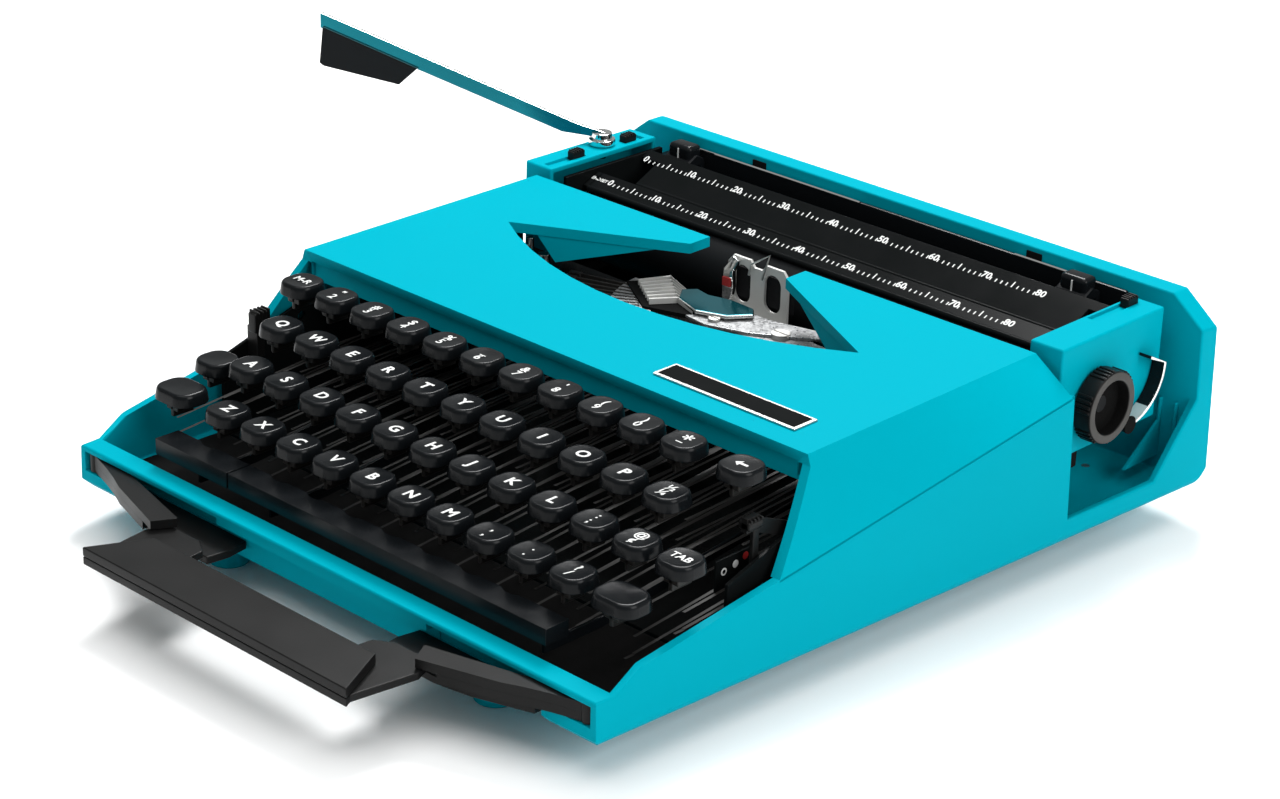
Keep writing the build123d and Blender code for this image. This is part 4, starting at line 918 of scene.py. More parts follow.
    def build(self) -> None:
        """Model and seat the shells."""
        self.lower_shell()
        self.top_cover()
        self.trim()
        feet = Bench.round_edges(Bench.copied("feet", "feet_skin"), self.foot_rounding, 3)
        Bench.seat("feet_skin", [Bench.paint(feet, TEAL)], "shell", "feet", slot="shell_plastic")


@dataclass
class Keyboard:
    """Key caps, legends, levers and space bars. Each ring of a cap is a height and a share of its width."""

    pitch: float = 19.05
    half: float = 114.3
    cap: float = 15.0
    corner: float = 5.7
    height: float = 8.0
    skirt: float = 4.7
    wide_cap: float = 19.0
    lock_drop: float = 3.8
    rows: tuple = (83.3, 64.4, 46.2, 28.4)
    heights: tuple = (65.0, 56.5, 47.4, 38.1)
    staggers: tuple = (10.0, 20.6, 25.2, 33.7)
    back_inset: float = 2.8
    tab_outset: float = 6.15
    left_shift_inset: float = 7.6
    right_shift_gap: float = 21.35
    rings: tuple = ((-4.4, 1.012), (-1.6, 0.965), (-0.85, 0.94), (-0.35, 0.905), (-0.1, 0.865), (0.0, 0.82),
                    (-0.05, 0.77), (-0.2, 0.56), (-0.31, 0.34), (-0.37, 0.12))
    tongues: tuple = ((3.2, 8.0), (0.9, 10.4))
    tongue_half: float = 4.6
    tongue_lap: float = 0.3
    floor_margin: float = 0.01
    side_margin: float = 0.5
    letter: float = 6.5
    letter_drop: float = 0.27
    letter_weight: float = 0.2
    word: float = 4.68
    word_drop: float = 0.08
    thin_weight: float = 0.1
    sign: float = 5.2
    sign_rise: float = 2.2
    sign_lift: float = 0.08
    star_growth: float = 1.8
    star_drop: float = 1.9
    letters: tuple = ((1, "qwertyuiop"), (2, "asdfghjkl"), (3, "zxcvbnm"))
    numbers: tuple = (("\"", "2"), ("#", "3"), ("$", "4"), ("%", "5"), ("_", "6"), ("&", "7"),
                      ("'", "8"), ("(", "9"), (")", "0"), ("*", "–"))
    signs: tuple = ((1, 10, "½", "¼"), (2, 9, ":", ";"), (2, 10, "@", "¢"), (3, 7, ",", ","),
                    (3, 8, ".", "."), (3, 9, "?", "/"))
    arrow: tuple = ((-2.7, 0), (-0.5, 1.9), (-0.5, 0.55), (2.6, 0.55), (2.6, -0.55), (-0.5, -0.55),
                    (-0.5, -1.9))
    arrow_drop: float = 0.3
    arrow_ink: float = 0.06
    bar_angle: float = 60.0
    caps: dict = field(default_factory=dict)

    def key_x(self, row: int, place: int) -> float:
        """X of a key by its row and place."""
        return self.staggers[row] - self.half + self.pitch * place

    def face(self, row: int, x: float, drop: float = 0.0) -> Vector:
        """Middle of a cap's top, lowered by so many millimetres."""
        return spot(x, self.rows[row], self.heights[row] - drop)

    def cap_model(self, width: float) -> bpy.types.Object:
        """Key cap with its top middle at the origin, modelled once for each width.

        Args:
            width: Width of the cap.

        Returns:
            The cap on the tongues of its lever.
        """
        if width in self.caps:
            return self.caps[width]
        Bench.clear()
        bpy.ops.mesh.primitive_plane_add(size=1.0)
        piece = Bench.named("cap_model")
        piece.scale = (width * MM, self.cap * MM, 1.0)
        piece.location = (0, 0, -self.skirt * MM)
        Bench.settle(piece)
        with Bench.editing(piece):
            bpy.ops.mesh.bevel(offset=self.corner * MM, segments=8, affect="VERTICES", profile=0.5)
            bpy.ops.mesh.flip_normals()
            bpy.ops.mesh.select_all(action="SELECT")
            start, level = 1.0, -self.skirt
            for height, spread in self.rings:
                rise = span(0, 0, height - level)
                bpy.ops.mesh.extrude_region_move(TRANSFORM_OT_translate={"value": rise})
                share = spread / start
                bpy.ops.transform.resize(value=(share, share, 1.0), center_override=(0, 0, 0))
                start, level = spread, height
            bpy.ops.mesh.select_all(action="SELECT")
            bpy.ops.mesh.normals_make_consistent(inside=False)
        parts = [Bench.paint(piece, KEY_BLACK)]
        top = self.tongue_lap - self.skirt
        for half, low in self.tongues:
            ends = span(-half, -self.tongue_half, -low), span(half, self.tongue_half, top)
            tongue = Bench.round_edges(Bench.box("tongue", *ends), 0.4)
            # Painted shade: the tongues take the darkened lever steel.
            parts.append(Bench.paint(tongue, LEVER_STEEL_PAINTED_SHADE))
        self.caps[width] = Bench.join("cap_model", parts)
        return self.caps[width]

    def legend(self, row: int, x: float, upper: str, lower: str = "") -> list:
        """Printed characters on one cap.

        Args:
            row: Row of the key.
            x: X of the key.
            upper: Letter, word, or upper sign of a pair.
            lower: Lower sign of a pair.

        Returns:
            Mesh objects of the print.
        """
        if not upper:
            return []
        if len(upper) > 1:
            place = Matrix.Translation(self.face(row, x, self.word_drop))
            return [Bench.words(upper, self.word, self.thin_weight, place)]
        face = self.face(row, x, self.letter_drop)
        if not lower:
            return [Bench.words(upper, self.letter, self.letter_weight, Matrix.Translation(face))]
        prints = []
        for text, rise in ((upper, self.sign_rise), (lower, -self.sign_rise)):
            size = self.sign
            if text == "*":
                size *= self.star_growth
                rise -= self.star_drop
            place = Matrix.Translation(face + span(0, rise, self.sign_lift))
            prints.append(Bench.words(text, size, self.thin_weight, place))
        return prints

    def back_arrow(self, row: int, x: float) -> bpy.types.Object:
        """Printed arrow on the back-space key.

        Args:
            row: Row of the key.
            x: X of the key.

        Returns:
            The thin arrow.
        """
        face = self.face(row, x, self.arrow_drop)
        corners = [face + span(across, along, 0) for across, along in self.arrow]
        return Bench.paint(Bench.plate("arrow", corners, span(0, 0, self.arrow_ink)), WHITE_PRINT)

    def key_parts(self, row: int, x: float, upper: str = "", lower: str = "", width: float = 0.0) -> list:
        """Cap and print of one key.

        Args:
            row: Row of the key.
            x: X of the key.
            upper: Letter, word, or upper sign of a pair.
            lower: Lower sign of a pair.
            width: Width of the cap, where it isn't the usual one.

        Returns:
            The cap and its print.
        """
        cap = Bench.twin(self.cap_model(width or self.cap), Matrix.Translation(self.face(row, x)))
        return [cap, *self.legend(row, x, upper, lower)]

    def seat_key(self, node: str, caps: list, *rows: int) -> None:
        """Join the levers and caps of a node and seat them.

        Args:
            node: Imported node, which is also the body's name.
            caps: Parts from key_parts.
            rows: Rows that the node has keys in.
        """
        # Painted shade: the levers take the darkened steel among the keys.
        lever = Bench.paint(Bench.copied(node, node + "_lever"), LEVER_STEEL_PAINTED_SHADE)
        for row in rows:
            self.trim(lever, row)
        Bench.seat(node + "_dressed", [lever, *caps], node, node, slot="key_plastic")

    def trim(self, lever: bpy.types.Object, row: int) -> None:
        """Delete a row's plain caps from a copied lever mesh.

        Args:
            lever: Copy of a key node.
            row: Row of the caps.
        """
        floor = high(self.heights[row] - self.height - self.floor_margin)
        middle = deep(self.rows[row])
        reach = (self.cap / 2 + self.side_margin) * MM
        with Bench.editing(lever, "DESELECT"):
            mesh = bmesh.from_edit_mesh(lever.data)
            for vertex in mesh.verts:
                vertex.select_set(vertex.co.z > floor and abs(vertex.co.y - middle) < reach)
            bmesh.update_edit_mesh(lever.data)
            bpy.ops.mesh.delete(type="VERT")

    def build(self) -> None:
        """Model and seat every key and both space bars."""
        for row, letters in self.letters:
            for place, letter in enumerate(letters):
                parts = self.key_parts(row, self.key_x(row, place), letter.upper())
                self.seat_key("key_" + letter, parts, row)
        group = []
        for place, (upper, lower) in enumerate(self.numbers):
            group += self.key_parts(0, self.key_x(0, place + 1), upper, lower)
        for row, place, upper, lower in self.signs:
            group += self.key_parts(row, self.key_x(row, place), upper, lower)
        self.seat_key("number_and_sign_keys", group, 0, 1, 2, 3)
        self.seat_key("margin_release_key", self.key_parts(0, self.key_x(0, 0), "M-R"), 0)
        back_x = self.half - self.back_inset
        self.seat_key("backspace_key", [*self.key_parts(0, back_x), self.back_arrow(0, back_x)], 0)
        lock = self.key_parts(2, self.key_x(2, -1))
        for part in lock:
            part.data.transform(Matrix.Translation(span(0, 0, -self.lock_drop)))
        self.seat_key("shift_lock_key", lock, 2)
        self.seat_key("tab_key", self.key_parts(2, self.half + self.tab_outset, "TAB"), 2)
        shifts = []
        for x in (self.left_shift_inset - self.half, self.key_x(3, 9) + self.right_shift_gap):
            shifts += self.key_parts(3, x, width=self.wide_cap)
        self.seat_key("shift_keys", shifts, 3)
        for model in self.caps.values():
            bpy.data.objects.remove(model, do_unlink=True)
        for node in ("space_bar", "power_space_bar"):
            bar = Bench.dressed(node, KEY_BLACK, 0.3, angle=self.bar_angle)
            Bench.seat(node + "_dressed", [bar], node, node, slot="key_plastic")


@dataclass
class Selector:
    """Ribbon colour selector and its marked plate.

    Each dot has a depth, a height, a radius, a thickness and a finish.
    """

    x: float = 123.2
    post: tuple = ((-0.8, 0.8), (76.2, 79.0), (31.0, 49.0))
    button: tuple = ((-3.2, 1.6), (73.0, 80.2), (48.2, 51.4))
    rib: tuple = ((-3.2, 1.6), (73.9, 74.7), (51.0, 52.0))
    rib_step: float = 1.7
    plate: tuple = ((117.2, 118.2), (65.5, 83.0), (27.0, 38.0))
    dot_x: float = 118.15
    dots: tuple = (
        (79.4, 35.8, 1.35, 0.12, RED_PRINT),
        (74.7, 34.4, 1.35, 0.12, WHITE_PRINT),
        (69.2, 33.4, 1.35, 0.12, WHITE_PRINT),
        (69.2, 33.4, 0.75, 0.16, BLACK_ENAMEL),
    )

    def build(self) -> None:
        """Model and seat the selector and its plate."""
        node = "ribbon_selector"
        parts = [Bench.dressed(node, SATIN_BLACK, 0.3, 0.4)]
        parts.append(Bench.block("post", self.post, SATIN_BLACK, 0.3, self.x))
        parts.append(Bench.block("button", self.button, SATIN_BLACK, 0.7, self.x))
        parts += Bench.ribs(self.rib, self.rib_step, 0.2, self.x)
        Bench.seat(node + "_dressed", parts, node, node, slot="black_plastic")
        plate = [Bench.block("plate", self.plate, BLACK_ENAMEL)]
        for depth, height, radius, thickness, finish in self.dots:
            start = spot(self.dot_x, depth, height)
            dot = Bench.drum("dot", start, start + span(thickness, 0, 0), radius)
            plate.append(Bench.paint(dot, finish))
        Bench.seat("selector_plate", plate, "shell")


@dataclass
class TypeBasket:
    """Ribbon fork, and the guide, comb and pins over the type segment.

    Upright outlines give an X from the type's middle and a height, level ones an X and a depth.
    """

    fork_depth: float = 223.0
    fork: tuple = ((-15, 42), (15, 42), (15, 60.5), (12.5, 63.5), (4, 63.5), (2, 61), (-2, 61), (-4, 63.5),
                   (-12.5, 63.5), (-15, 60.5))
    fork_wall: float = 1.2
    window_x: float = 7.6
    window_radius: float = 4.1
    window_heights: tuple = (49.5, 56.5)
    window_depths: tuple = (222.0, 225.5)
    foot: tuple = ((-15.0, 15.0), (214.4, 224.0), (41.1, 42.4))
    loop: tuple = ((-3.5, 58.0), (-2.6, 62.5), (6.6, 68.6), (3.2, 58.0))
    loop_depth: float = 221.8
    loop_radius: float = 0.45
    ribbon: tuple = ((-17.0, 17.0), (224.5, 224.8), (47.0, 59.0))
    finger: tuple = ((-16, 44), (-11.5, 46), (-10.5, 51), (-11, 57), (-8, 62.5), (-11, 63.8), (-15.5, 58),
                     (-16, 52))
    finger_depth: float = 220.8
    finger_wall: float = 2.3
    mark: tuple = ((-15.4, -11.6), (220.2, 220.9), (51.0, 54.5))
    guide: tuple = ((-30, 207), (-25, 200), (-12, 195), (0, 199.5), (6, 208), (2, 212.5), (-10, 213),
                    (-19, 210.5), (-26, 212))
    guide_heights: tuple = (48.7, 50.4)
    apron: tuple = (
        (-15, 193), (-4, 191.5), (12, 197), (25, 205), (36, 213), (31, 218), (12, 213), (0, 212)
    )
    apron_heights: tuple = (47.0, 48.2)
    strips: int = 7
    strip: tuple = ((-48.6, 202.6), (-43.0, 214.6), (-28.5, 208.5))
    strip_steps: tuple = ((2.7, -1.85), (2.83, -2.35), (2.3, -2.0))
    strip_wall: tuple = (0.9, -0.62)
    strip_heights: tuple = (46.5, 50.1)
    # Outline of the dead black underlay of the comb: painted shade in the gaps between the strips.
    shade_bed: tuple = ((-54, 202), (-43, 217), (-26, 209), (-12, 195), (-32, 188))
    shade_bed_heights: tuple = (46.3, 47.9)
    pins: tuple = ((34.0, 214.5), (38.0, 216.0), (42.0, 217.5))
    pin_heights: tuple = (46.0, 50.5)
    pin_radius: float = 1.4
    screw: tuple = (-3.8, 196.8)
    screw_heights: tuple = (48.0, 49.4)
    screw_radius: float = 2.4
    screw_slot: tuple = ((-6.5, -1.0), (196.4, 197.2), (48.9, 50.0))
    posts: tuple = ((-90.0, 185.5, 1.4, 60.0), (-85.0, 188.0, 2.4, 54.0), (-92.0, 183.5, 2.0, 57.0))
    post_foot: float = 40.0

    def upright(self, outline: tuple, depth: float, wall: float) -> bpy.types.Object:
        """Plate across the machine.

        Args:
            outline: X from the type's middle and height of each corner.
            depth: Depth of its front face.
            wall: Its thickness.

        Returns:
            The plate, without a finish.
        """
        corners = [spot(TYPE_X + x, depth, height) for x, height in outline]
        return Bench.plate("upright", corners, span(0, wall, 0))

    def ribbon_fork(self) -> None:
        """Ribbon fork with two windows, its foot, wire guide and ribbon."""
        plate = self.upright(self.fork, self.fork_depth, self.fork_wall)
        near, far = self.window_depths
        for side in SIDES:
            x = TYPE_X + side * self.window_x
            for height in self.window_heights:
                ends = spot(x, near, height), spot(x, far, height)
                Bench.cut(plate, Bench.drum("window", *ends, self.window_radius, 32))
            width = (-self.window_radius, self.window_radius)
            Bench.cut(plate, Bench.cuboid("window", (width, self.window_depths, self.window_heights), x))
        # Painted reflection: the fork plate takes the pale steel.
        parts = [Bench.paint(Bench.round_edges(plate, 0.25, 2, 0.6), PALE_STEEL_PAINTED_REFLECTION)]
        parts.append(Bench.block("foot", self.foot, CHROME, 0.3, TYPE_X))
        loop = [spot(TYPE_X + x, self.loop_depth, height) for x, height in self.loop]
        parts.append(Bench.wire("loop", loop, self.loop_radius, BRIGHT_STEEL))
        parts.append(Bench.block("ribbon", self.ribbon, RIBBON_INK, 0.0, TYPE_X))
        finger = self.upright(self.finger, self.finger_depth, self.finger_wall)
        parts.append(Bench.paint(Bench.round_edges(finger, 0.5), CHROME))
        parts.append(Bench.block("mark", self.mark, RED_PRINT, 0.1, TYPE_X))
        node = "ribbon_vibrator"
        Bench.seat(node + "_dressed", parts, node, node, slot="zinc_plate")

    def comb(self) -> list:
        """Bent strips of the comb, on a dead black underlay that paints the shade in the gaps between them.
        """
        parts = []
        across, along = self.strip_wall
        for place in range(self.strips):
            edge = []
            for (x, depth), (step_x, step_depth) in zip(self.strip, self.strip_steps):
                edge.append((x + step_x * place, depth + step_depth * place))
            rim = edge + [(x + across, depth + along) for x, depth in reversed(edge)]
            # Painted reflection: the comb strips take the pale steel.
            parts.append(Bench.paint(Bench.slab("strip", rim, *self.strip_heights), PALE_STEEL_PAINTED_REFLECTION))
        # Painted shade: the gaps between the strips show the dead black underlay.
        parts.append(Bench.paint(Bench.slab("shade_bed", self.shade_bed, *self.shade_bed_heights), MATTE_BLACK_AND_PAINTED_SHADE))
        return parts

    def slotted_screw(self) -> bpy.types.Object:
        """Screw that holds the guide."""
        ends = [spot(*self.screw, height) for height in self.screw_heights]
        screw = Bench.round_edges(Bench.drum("screw", *ends, self.screw_radius, 28), 0.4)
        Bench.cut(screw, Bench.cuboid("slot", self.screw_slot))
        return Bench.paint(screw, BRIGHT_STEEL)

    def type_guide(self) -> None:
        """Polished guide with a painted teal reflection on its top, zinc apron, comb of bent strips, pins and
        posts over the segment.
        """
        guide = Bench.round_edges(Bench.slab("guide", self.guide, *self.guide_heights), 0.7, 3)
        # Painted reflection: the guide's upward faces take the teal mirror colour.
        Bench.tint(Bench.paint(guide, CHROME), TEAL_PAINTED_REFLECTION, lambda middle, normal: normal.z > 0.9)
        apron = Bench.round_edges(Bench.slab("apron", self.apron, *self.apron_heights), 0.3)
        parts = [guide, Bench.paint(apron, ZINC), *self.comb()]
        for place in self.pins:
            ends = [spot(*place, height) for height in self.pin_heights]
            parts.append(Bench.pin(*ends, self.pin_radius, BRIGHT_STEEL, 20))
        parts.append(self.slotted_screw())
        for x, depth, radius, top in self.posts:
            ends = spot(x, depth, self.post_foot), spot(x, depth, top)
            parts.append(Bench.pin(*ends, radius, CHROME))
        Bench.seat("type_guide", parts, "shell")

    def build(self) -> None:
        """Model and seat the basket's pieces."""
        self.ribbon_fork()
        self.type_guide()


@dataclass
class Carriage:
    """Platen carriage with its scales, covers, knobs and stops."""

    scale_decades: int = 9
    tick_width: float = 0.48
    tick_low: float = -1.4
    tick_ink: float = 0.05
    short_tick: float = 1.6
    tall_tick: float = 3.0
    digit: float = 4.4
    digit_rise: float = 0.2
    digit_weight: float = 0.1
    bail_lean: float = 22.0
    bail_middle: tuple = (0.0, 245.5, 62.0)
    bail_print: tuple = (0.0, 0.9, 0.72)
    bail_zero: float = -106.3
    bail_pitch: float = 2.506
    bail_end: tuple = ((-116.5, -5.4, -1.4), (-113.5, 3.8, -0.02))
    bail_words: tuple = (("END", -114.1), ("SET", -109.8))
    bail_word: float = 2.3
    bail_word_weight: float = 0.05
    bail_roll: float = 1.25
    bail_roll_drop: float = -4.6
    bail_roll_half: float = 114.0
    table_lean: float = 25.9
    table_edges: tuple = ((0.0, 263.0, 57.0), (0.0, 280.5, 65.5))
    table_print: tuple = (0.0, 4.2, 1.53)
    table_zero: float = -114.0
    table_pitch: float = 2.5075
    table_roll: float = 1.3
    table_roll_place: tuple = (263.2, 57.6)
    table_roll_half: float = 107.8
    slots: tuple = ((-123.5, 227.5, 247.5), (-123.5, 270.0, 281.5), (122.8, 256.0, 282.5))
    slot_half: float = 2.1
    slot_heights: tuple = (69.4, 72.0)
    tabs: tuple = ((-123.5, 240.5), (-123.5, 270.5), (122.8, 275.5))
    tab_half: float = 1.9
    tab_length: float = 6.5
    tab_heights: tuple = (69.4, 73.2)
    tab_rib: tuple = (0.7, 1.4)
    tab_rib_step: float = 1.4
    tab_rib_heights: tuple = (72.8, 73.7)
    platen_axis: tuple = (0.0, 246.5, 45.0)
    knob_x: float = 137.7
    knob_face: float = 141.2
    hollow_x: tuple = (135.5, 141.3)
    hollow_radius: float = 10.3
    knob_groups: int = 6
    knob_ribs: int = 4
    knob_rib: tuple = ((-3.2, -0.55, 12.9), (3.2, 0.55, 14.1))
    knob_rib_turn: float = 0.14
    stop_x: tuple = (("left", -103.0), ("right", 95.0))
    stop_grip: tuple = ((-6.0, 6.0), (282.2, 290.0), (64.0, 72.0))
    stop_pointer: tuple = ((-0.25, 0.25), (281.9, 282.4), (65.0, 70.5))
    release_bend: float = 37.0
    release_boss: tuple = ((138.8, 262.0, 33.0), (139.6, 262.0, 33.0))
    release_boss_radius: float = 3.4
    fittings: tuple = (
        ("card_finger", ((-117.0, -110.5), (238.3, 239.2), (50.0, 58.0)), WHITE_PRINT, 0.3),
        ("bail_bracket", ((-118.6, -115.2), (243.0, 252.0), (57.0, 59.0)), CHROME, 0.5),
        ("rear_rail", ((-113.0, 113.0), (291.2, 293.2), (58.0, 68.8)), KEY_BLACK, 0.8),
        ("rail_end", ((-118.0, -112.0), (284.0, 293.0), (57.0, 63.5)), KEY_BLACK, 0.6),
        ("rail_end", ((112.0, 118.0), (284.0, 293.0), (57.0, 63.5)), KEY_BLACK, 0.6),
        ("knob_bracket", ((127.0, 133.0), (229.0, 240.0), (21.5, 29.0)), MATTE_BLACK_AND_PAINTED_SHADE, 0.8),
    )
    rail_lines: tuple = ((-100.0, -14.0), (62.0, 88.0))
    rail_line_place: tuple = (291.4, 68.9)
    rail_line_radius: float = 0.5

    def print_scale(self, zero: float, pitch: float, place: Matrix) -> list:
        """Printed ticks and numbers of one scale.

        Args:
            zero: X of the zero mark.
            pitch: Space of one character.
            place: Matrix from the print's own plane to the strip's face.

        Returns:
            Mesh objects of the print.
        """
        ticks = []
        for step in range(1, 10):
            tall = self.tall_tick if step == 5 else self.short_tick
            low = span(zero + pitch * step - self.tick_width / 2, self.tick_low, 0)
            ticks.append(Bench.box("tick", low, low + span(self.tick_width, tall, self.tick_ink)))
        row = Bench.join("ticks", ticks)
        repeat = row.modifiers.new("repeat", "ARRAY")
        repeat.count = self.scale_decades - 1
        repeat.use_relative_offset = False
        repeat.use_constant_offset = True
        repeat.constant_offset_displace = span(10 * pitch, 0, 0)
        Bench.apply(row, repeat)
        row.data.transform(place)
        prints = [Bench.paint(row, WHITE_PRINT)]
        for decade in range(self.scale_decades):
            middle = Matrix.Translation(span(zero + 10 * pitch * decade, self.digit_rise, 0))
            prints.append(Bench.words(str(10 * decade), self.digit, self.digit_weight, place @ middle))
        return prints

    def bail(self) -> None:
        """Paper bail with the lower scale."""
        node = "paper_bail"
        parts = [Bench.dressed(node, BLACK_ENAMEL, 0.3, 1.0)]
        turn = Matrix.Rotation(math.radians(self.bail_lean), 4, "X")
        middle = spot(*self.bail_middle)
        place = Matrix.Translation(middle + turn @ span(*self.bail_print)) @ turn
        parts += self.print_scale(self.bail_zero, self.bail_pitch, place)
        end = Bench.box("end", *(span(*corner) for corner in self.bail_end))
        end.data.transform(place)
        parts.append(Bench.paint(end, BLACK_ENAMEL))
        for text, x in self.bail_words:
            where = place @ Matrix.Translation(span(x, 0, 0))
            parts.append(Bench.words(text, self.bail_word, self.bail_word_weight, where))
        reach = (side * self.bail_roll_half for side in SIDES)
        ends = [middle + turn @ span(x, self.bail_roll_drop, 0) for x in reach]
        parts.append(Bench.pin(*ends, self.bail_roll, BLACK_ENAMEL))
        Bench.seat(node + "_dressed", parts, node, node, slot="black_enamel")

    def table(self) -> None:
        """Paper table with the upper scale."""
        node = "paper_table"
        parts = [Bench.dressed(node, BLACK_ENAMEL, 0.3, 1.0)]
        turn = Matrix.Rotation(math.radians(self.table_lean), 4, "X")
        front, rear = (spot(*edge) for edge in self.table_edges)
        place = Matrix.Translation((front + rear) / 2 + turn @ span(*self.table_print)) @ turn
        parts += self.print_scale(self.table_zero, self.table_pitch, place)
        ends = [spot(side * self.table_roll_half, *self.table_roll_place) for side in SIDES]
        parts.append(Bench.pin(*ends, self.table_roll, BLACK_ENAMEL))
        Bench.seat(node + "_dressed", parts, "carriage", node, slot="black_enamel")

    def slider_tab(self, x: float, near: float) -> list:
        """Ribbed slider tab in an end cover's slot.

        Args:
            x: X of its middle.
            near: Depth of its front.

        Returns:
            The tab and its ribs.
        """
        across = (-self.tab_half, self.tab_half)
        ends = (across, (near, near + self.tab_length), self.tab_heights)
        rib = (across, tuple(near + edge for edge in self.tab_rib), self.tab_rib_heights)
        return [Bench.block("tab", ends, SATIN_BLACK, 0.5, x), *Bench.ribs(rib, self.tab_rib_step, 0.2, x)]

    def covers(self) -> None:
        """End covers with their slots and slider tabs."""
        node = "end_covers"
        covers = Bench.round_edges(Bench.copied(node, node + "_dressed"), 0.9, 3, 3.0)
        across = (-self.slot_half, self.slot_half)
        for x, near, far in self.slots:
            Bench.cut(covers, Bench.cuboid("slot", (across, (near, far), self.slot_heights), x))
        parts = [Bench.paint(covers, TEAL)]
        for x, near in self.tabs:
            parts += self.slider_tab(x, near)
        Bench.seat(node + "_dressed", parts, "carriage", node, slot="shell_plastic")

    def on_face(self, middle: Vector, normal: Vector) -> bool:
        """Whether a face lies on a knob's outer ring."""
        return abs(normal.x) > 0.9 and abs(middle.x) > self.knob_face * MM

    def in_hollow(self, middle: Vector, normal: Vector) -> bool:
        """Whether a face lies inside a knob's hollow.

        Args:
            middle: Middle of the face.
            normal: Its normal, which doesn't matter here.

        Returns:
            True inside the hollow.
        """
        axis = spot(*self.platen_axis)
        reach = math.hypot(middle.y - axis.y, middle.z - axis.z)
        inner, outer = self.hollow_x
        return inner * MM < abs(middle.x) < outer * MM and reach < self.hollow_radius * MM

    def knobs(self) -> None:
        """Platen knobs with groups of ribs, a grey face ring and dead black painted shade inside their
        hollows.
        """
        node = "platen_knobs"
        knobs = Bench.dressed(node, SATIN_BLACK, 0.6, 0.8, 3)
        Bench.tint(knobs, GREY_PLASTIC, self.on_face)
        # Painted shade: the faces inside each knob's hollow take the dead matte black.
        Bench.tint(knobs, MATTE_BLACK_AND_PAINTED_SHADE, self.in_hollow)
        rib = Bench.box("rib", *(span(*corner) for corner in self.knob_rib))
        Bench.paint(Bench.round_edges(rib, 0.3), SATIN_BLACK)
        parts = [knobs]
        for side in SIDES:
            shift = Matrix.Translation(spot(*self.platen_axis) + span(side * self.knob_x, 0, 0))
            for group in range(self.knob_groups):
                for place in range(self.knob_ribs):
                    angle = math.tau * group / self.knob_groups + self.knob_rib_turn * place
                    parts.append(Bench.twin(rib, shift @ Matrix.Rotation(angle, 4, "X")))
        bpy.data.objects.remove(rib, do_unlink=True)
        Bench.seat(node + "_dressed", parts, "platen", node, slot="black_plastic")

    def stops(self) -> None:
        """Margin stops with their white pointers."""
        for side, x in self.stop_x:
            node = "margin_stop_" + side
            parts = [Bench.dressed(node, KEY_BLACK, 0.8, 2.0, 3)]
            parts.append(Bench.block("grip", self.stop_grip, KEY_BLACK, 1.8, x))
            parts.append(Bench.block("pointer", self.stop_pointer, WHITE_PRINT, 0.0, x))
            Bench.seat(node + "_dressed", parts, node, node, slot="black_plastic")

    def release(self) -> None:
        """Paper release lever: dark strip with bright edges, a painted highlight of pale steel on its low
        upward faces, and a dark boss.
        """
        node = "paper_release_lever"
        bend = high(self.release_bend)
        lever = Bench.dressed(node, KEY_BLACK, 0.2, 0.4)
        Bench.tint(lever, CHROME, lambda middle, normal: abs(normal.x) > 0.4)
        # Painted highlight: the lever's low, upward-facing faces take the pale steel.
        Bench.tint(lever, PALE_STEEL_PAINTED_REFLECTION, lambda middle, normal: normal.z > 0.6 and middle.z < bend)
        ends = (spot(*end) for end in self.release_boss)
        boss = Bench.round_edges(Bench.drum("boss", *ends, self.release_boss_radius, 32), 0.2)
        Bench.seat(node + "_dressed", [lever, Bench.paint(boss, MATTE_BLACK_AND_PAINTED_SHADE)], node, node, slot="chrome")

    def fit(self) -> None:
        """Card finger, bail bracket, rear rail with its bright lines, and knob bracket."""
        parts = [Bench.block(*fitting) for fitting in self.fittings]
        for line in self.rail_lines:
            points = [spot(x, *self.rail_line_place) for x in line]
            parts.append(Bench.wire("line", points, self.rail_line_radius, CHROME))
        Bench.seat("carriage_fittings", parts, "carriage")

    def build(self) -> None:
        """Model and seat the carriage's pieces."""
        self.bail()
        self.table()
        self.covers()
        self.knobs()
        self.stops()
        self.release()
        self.fit()


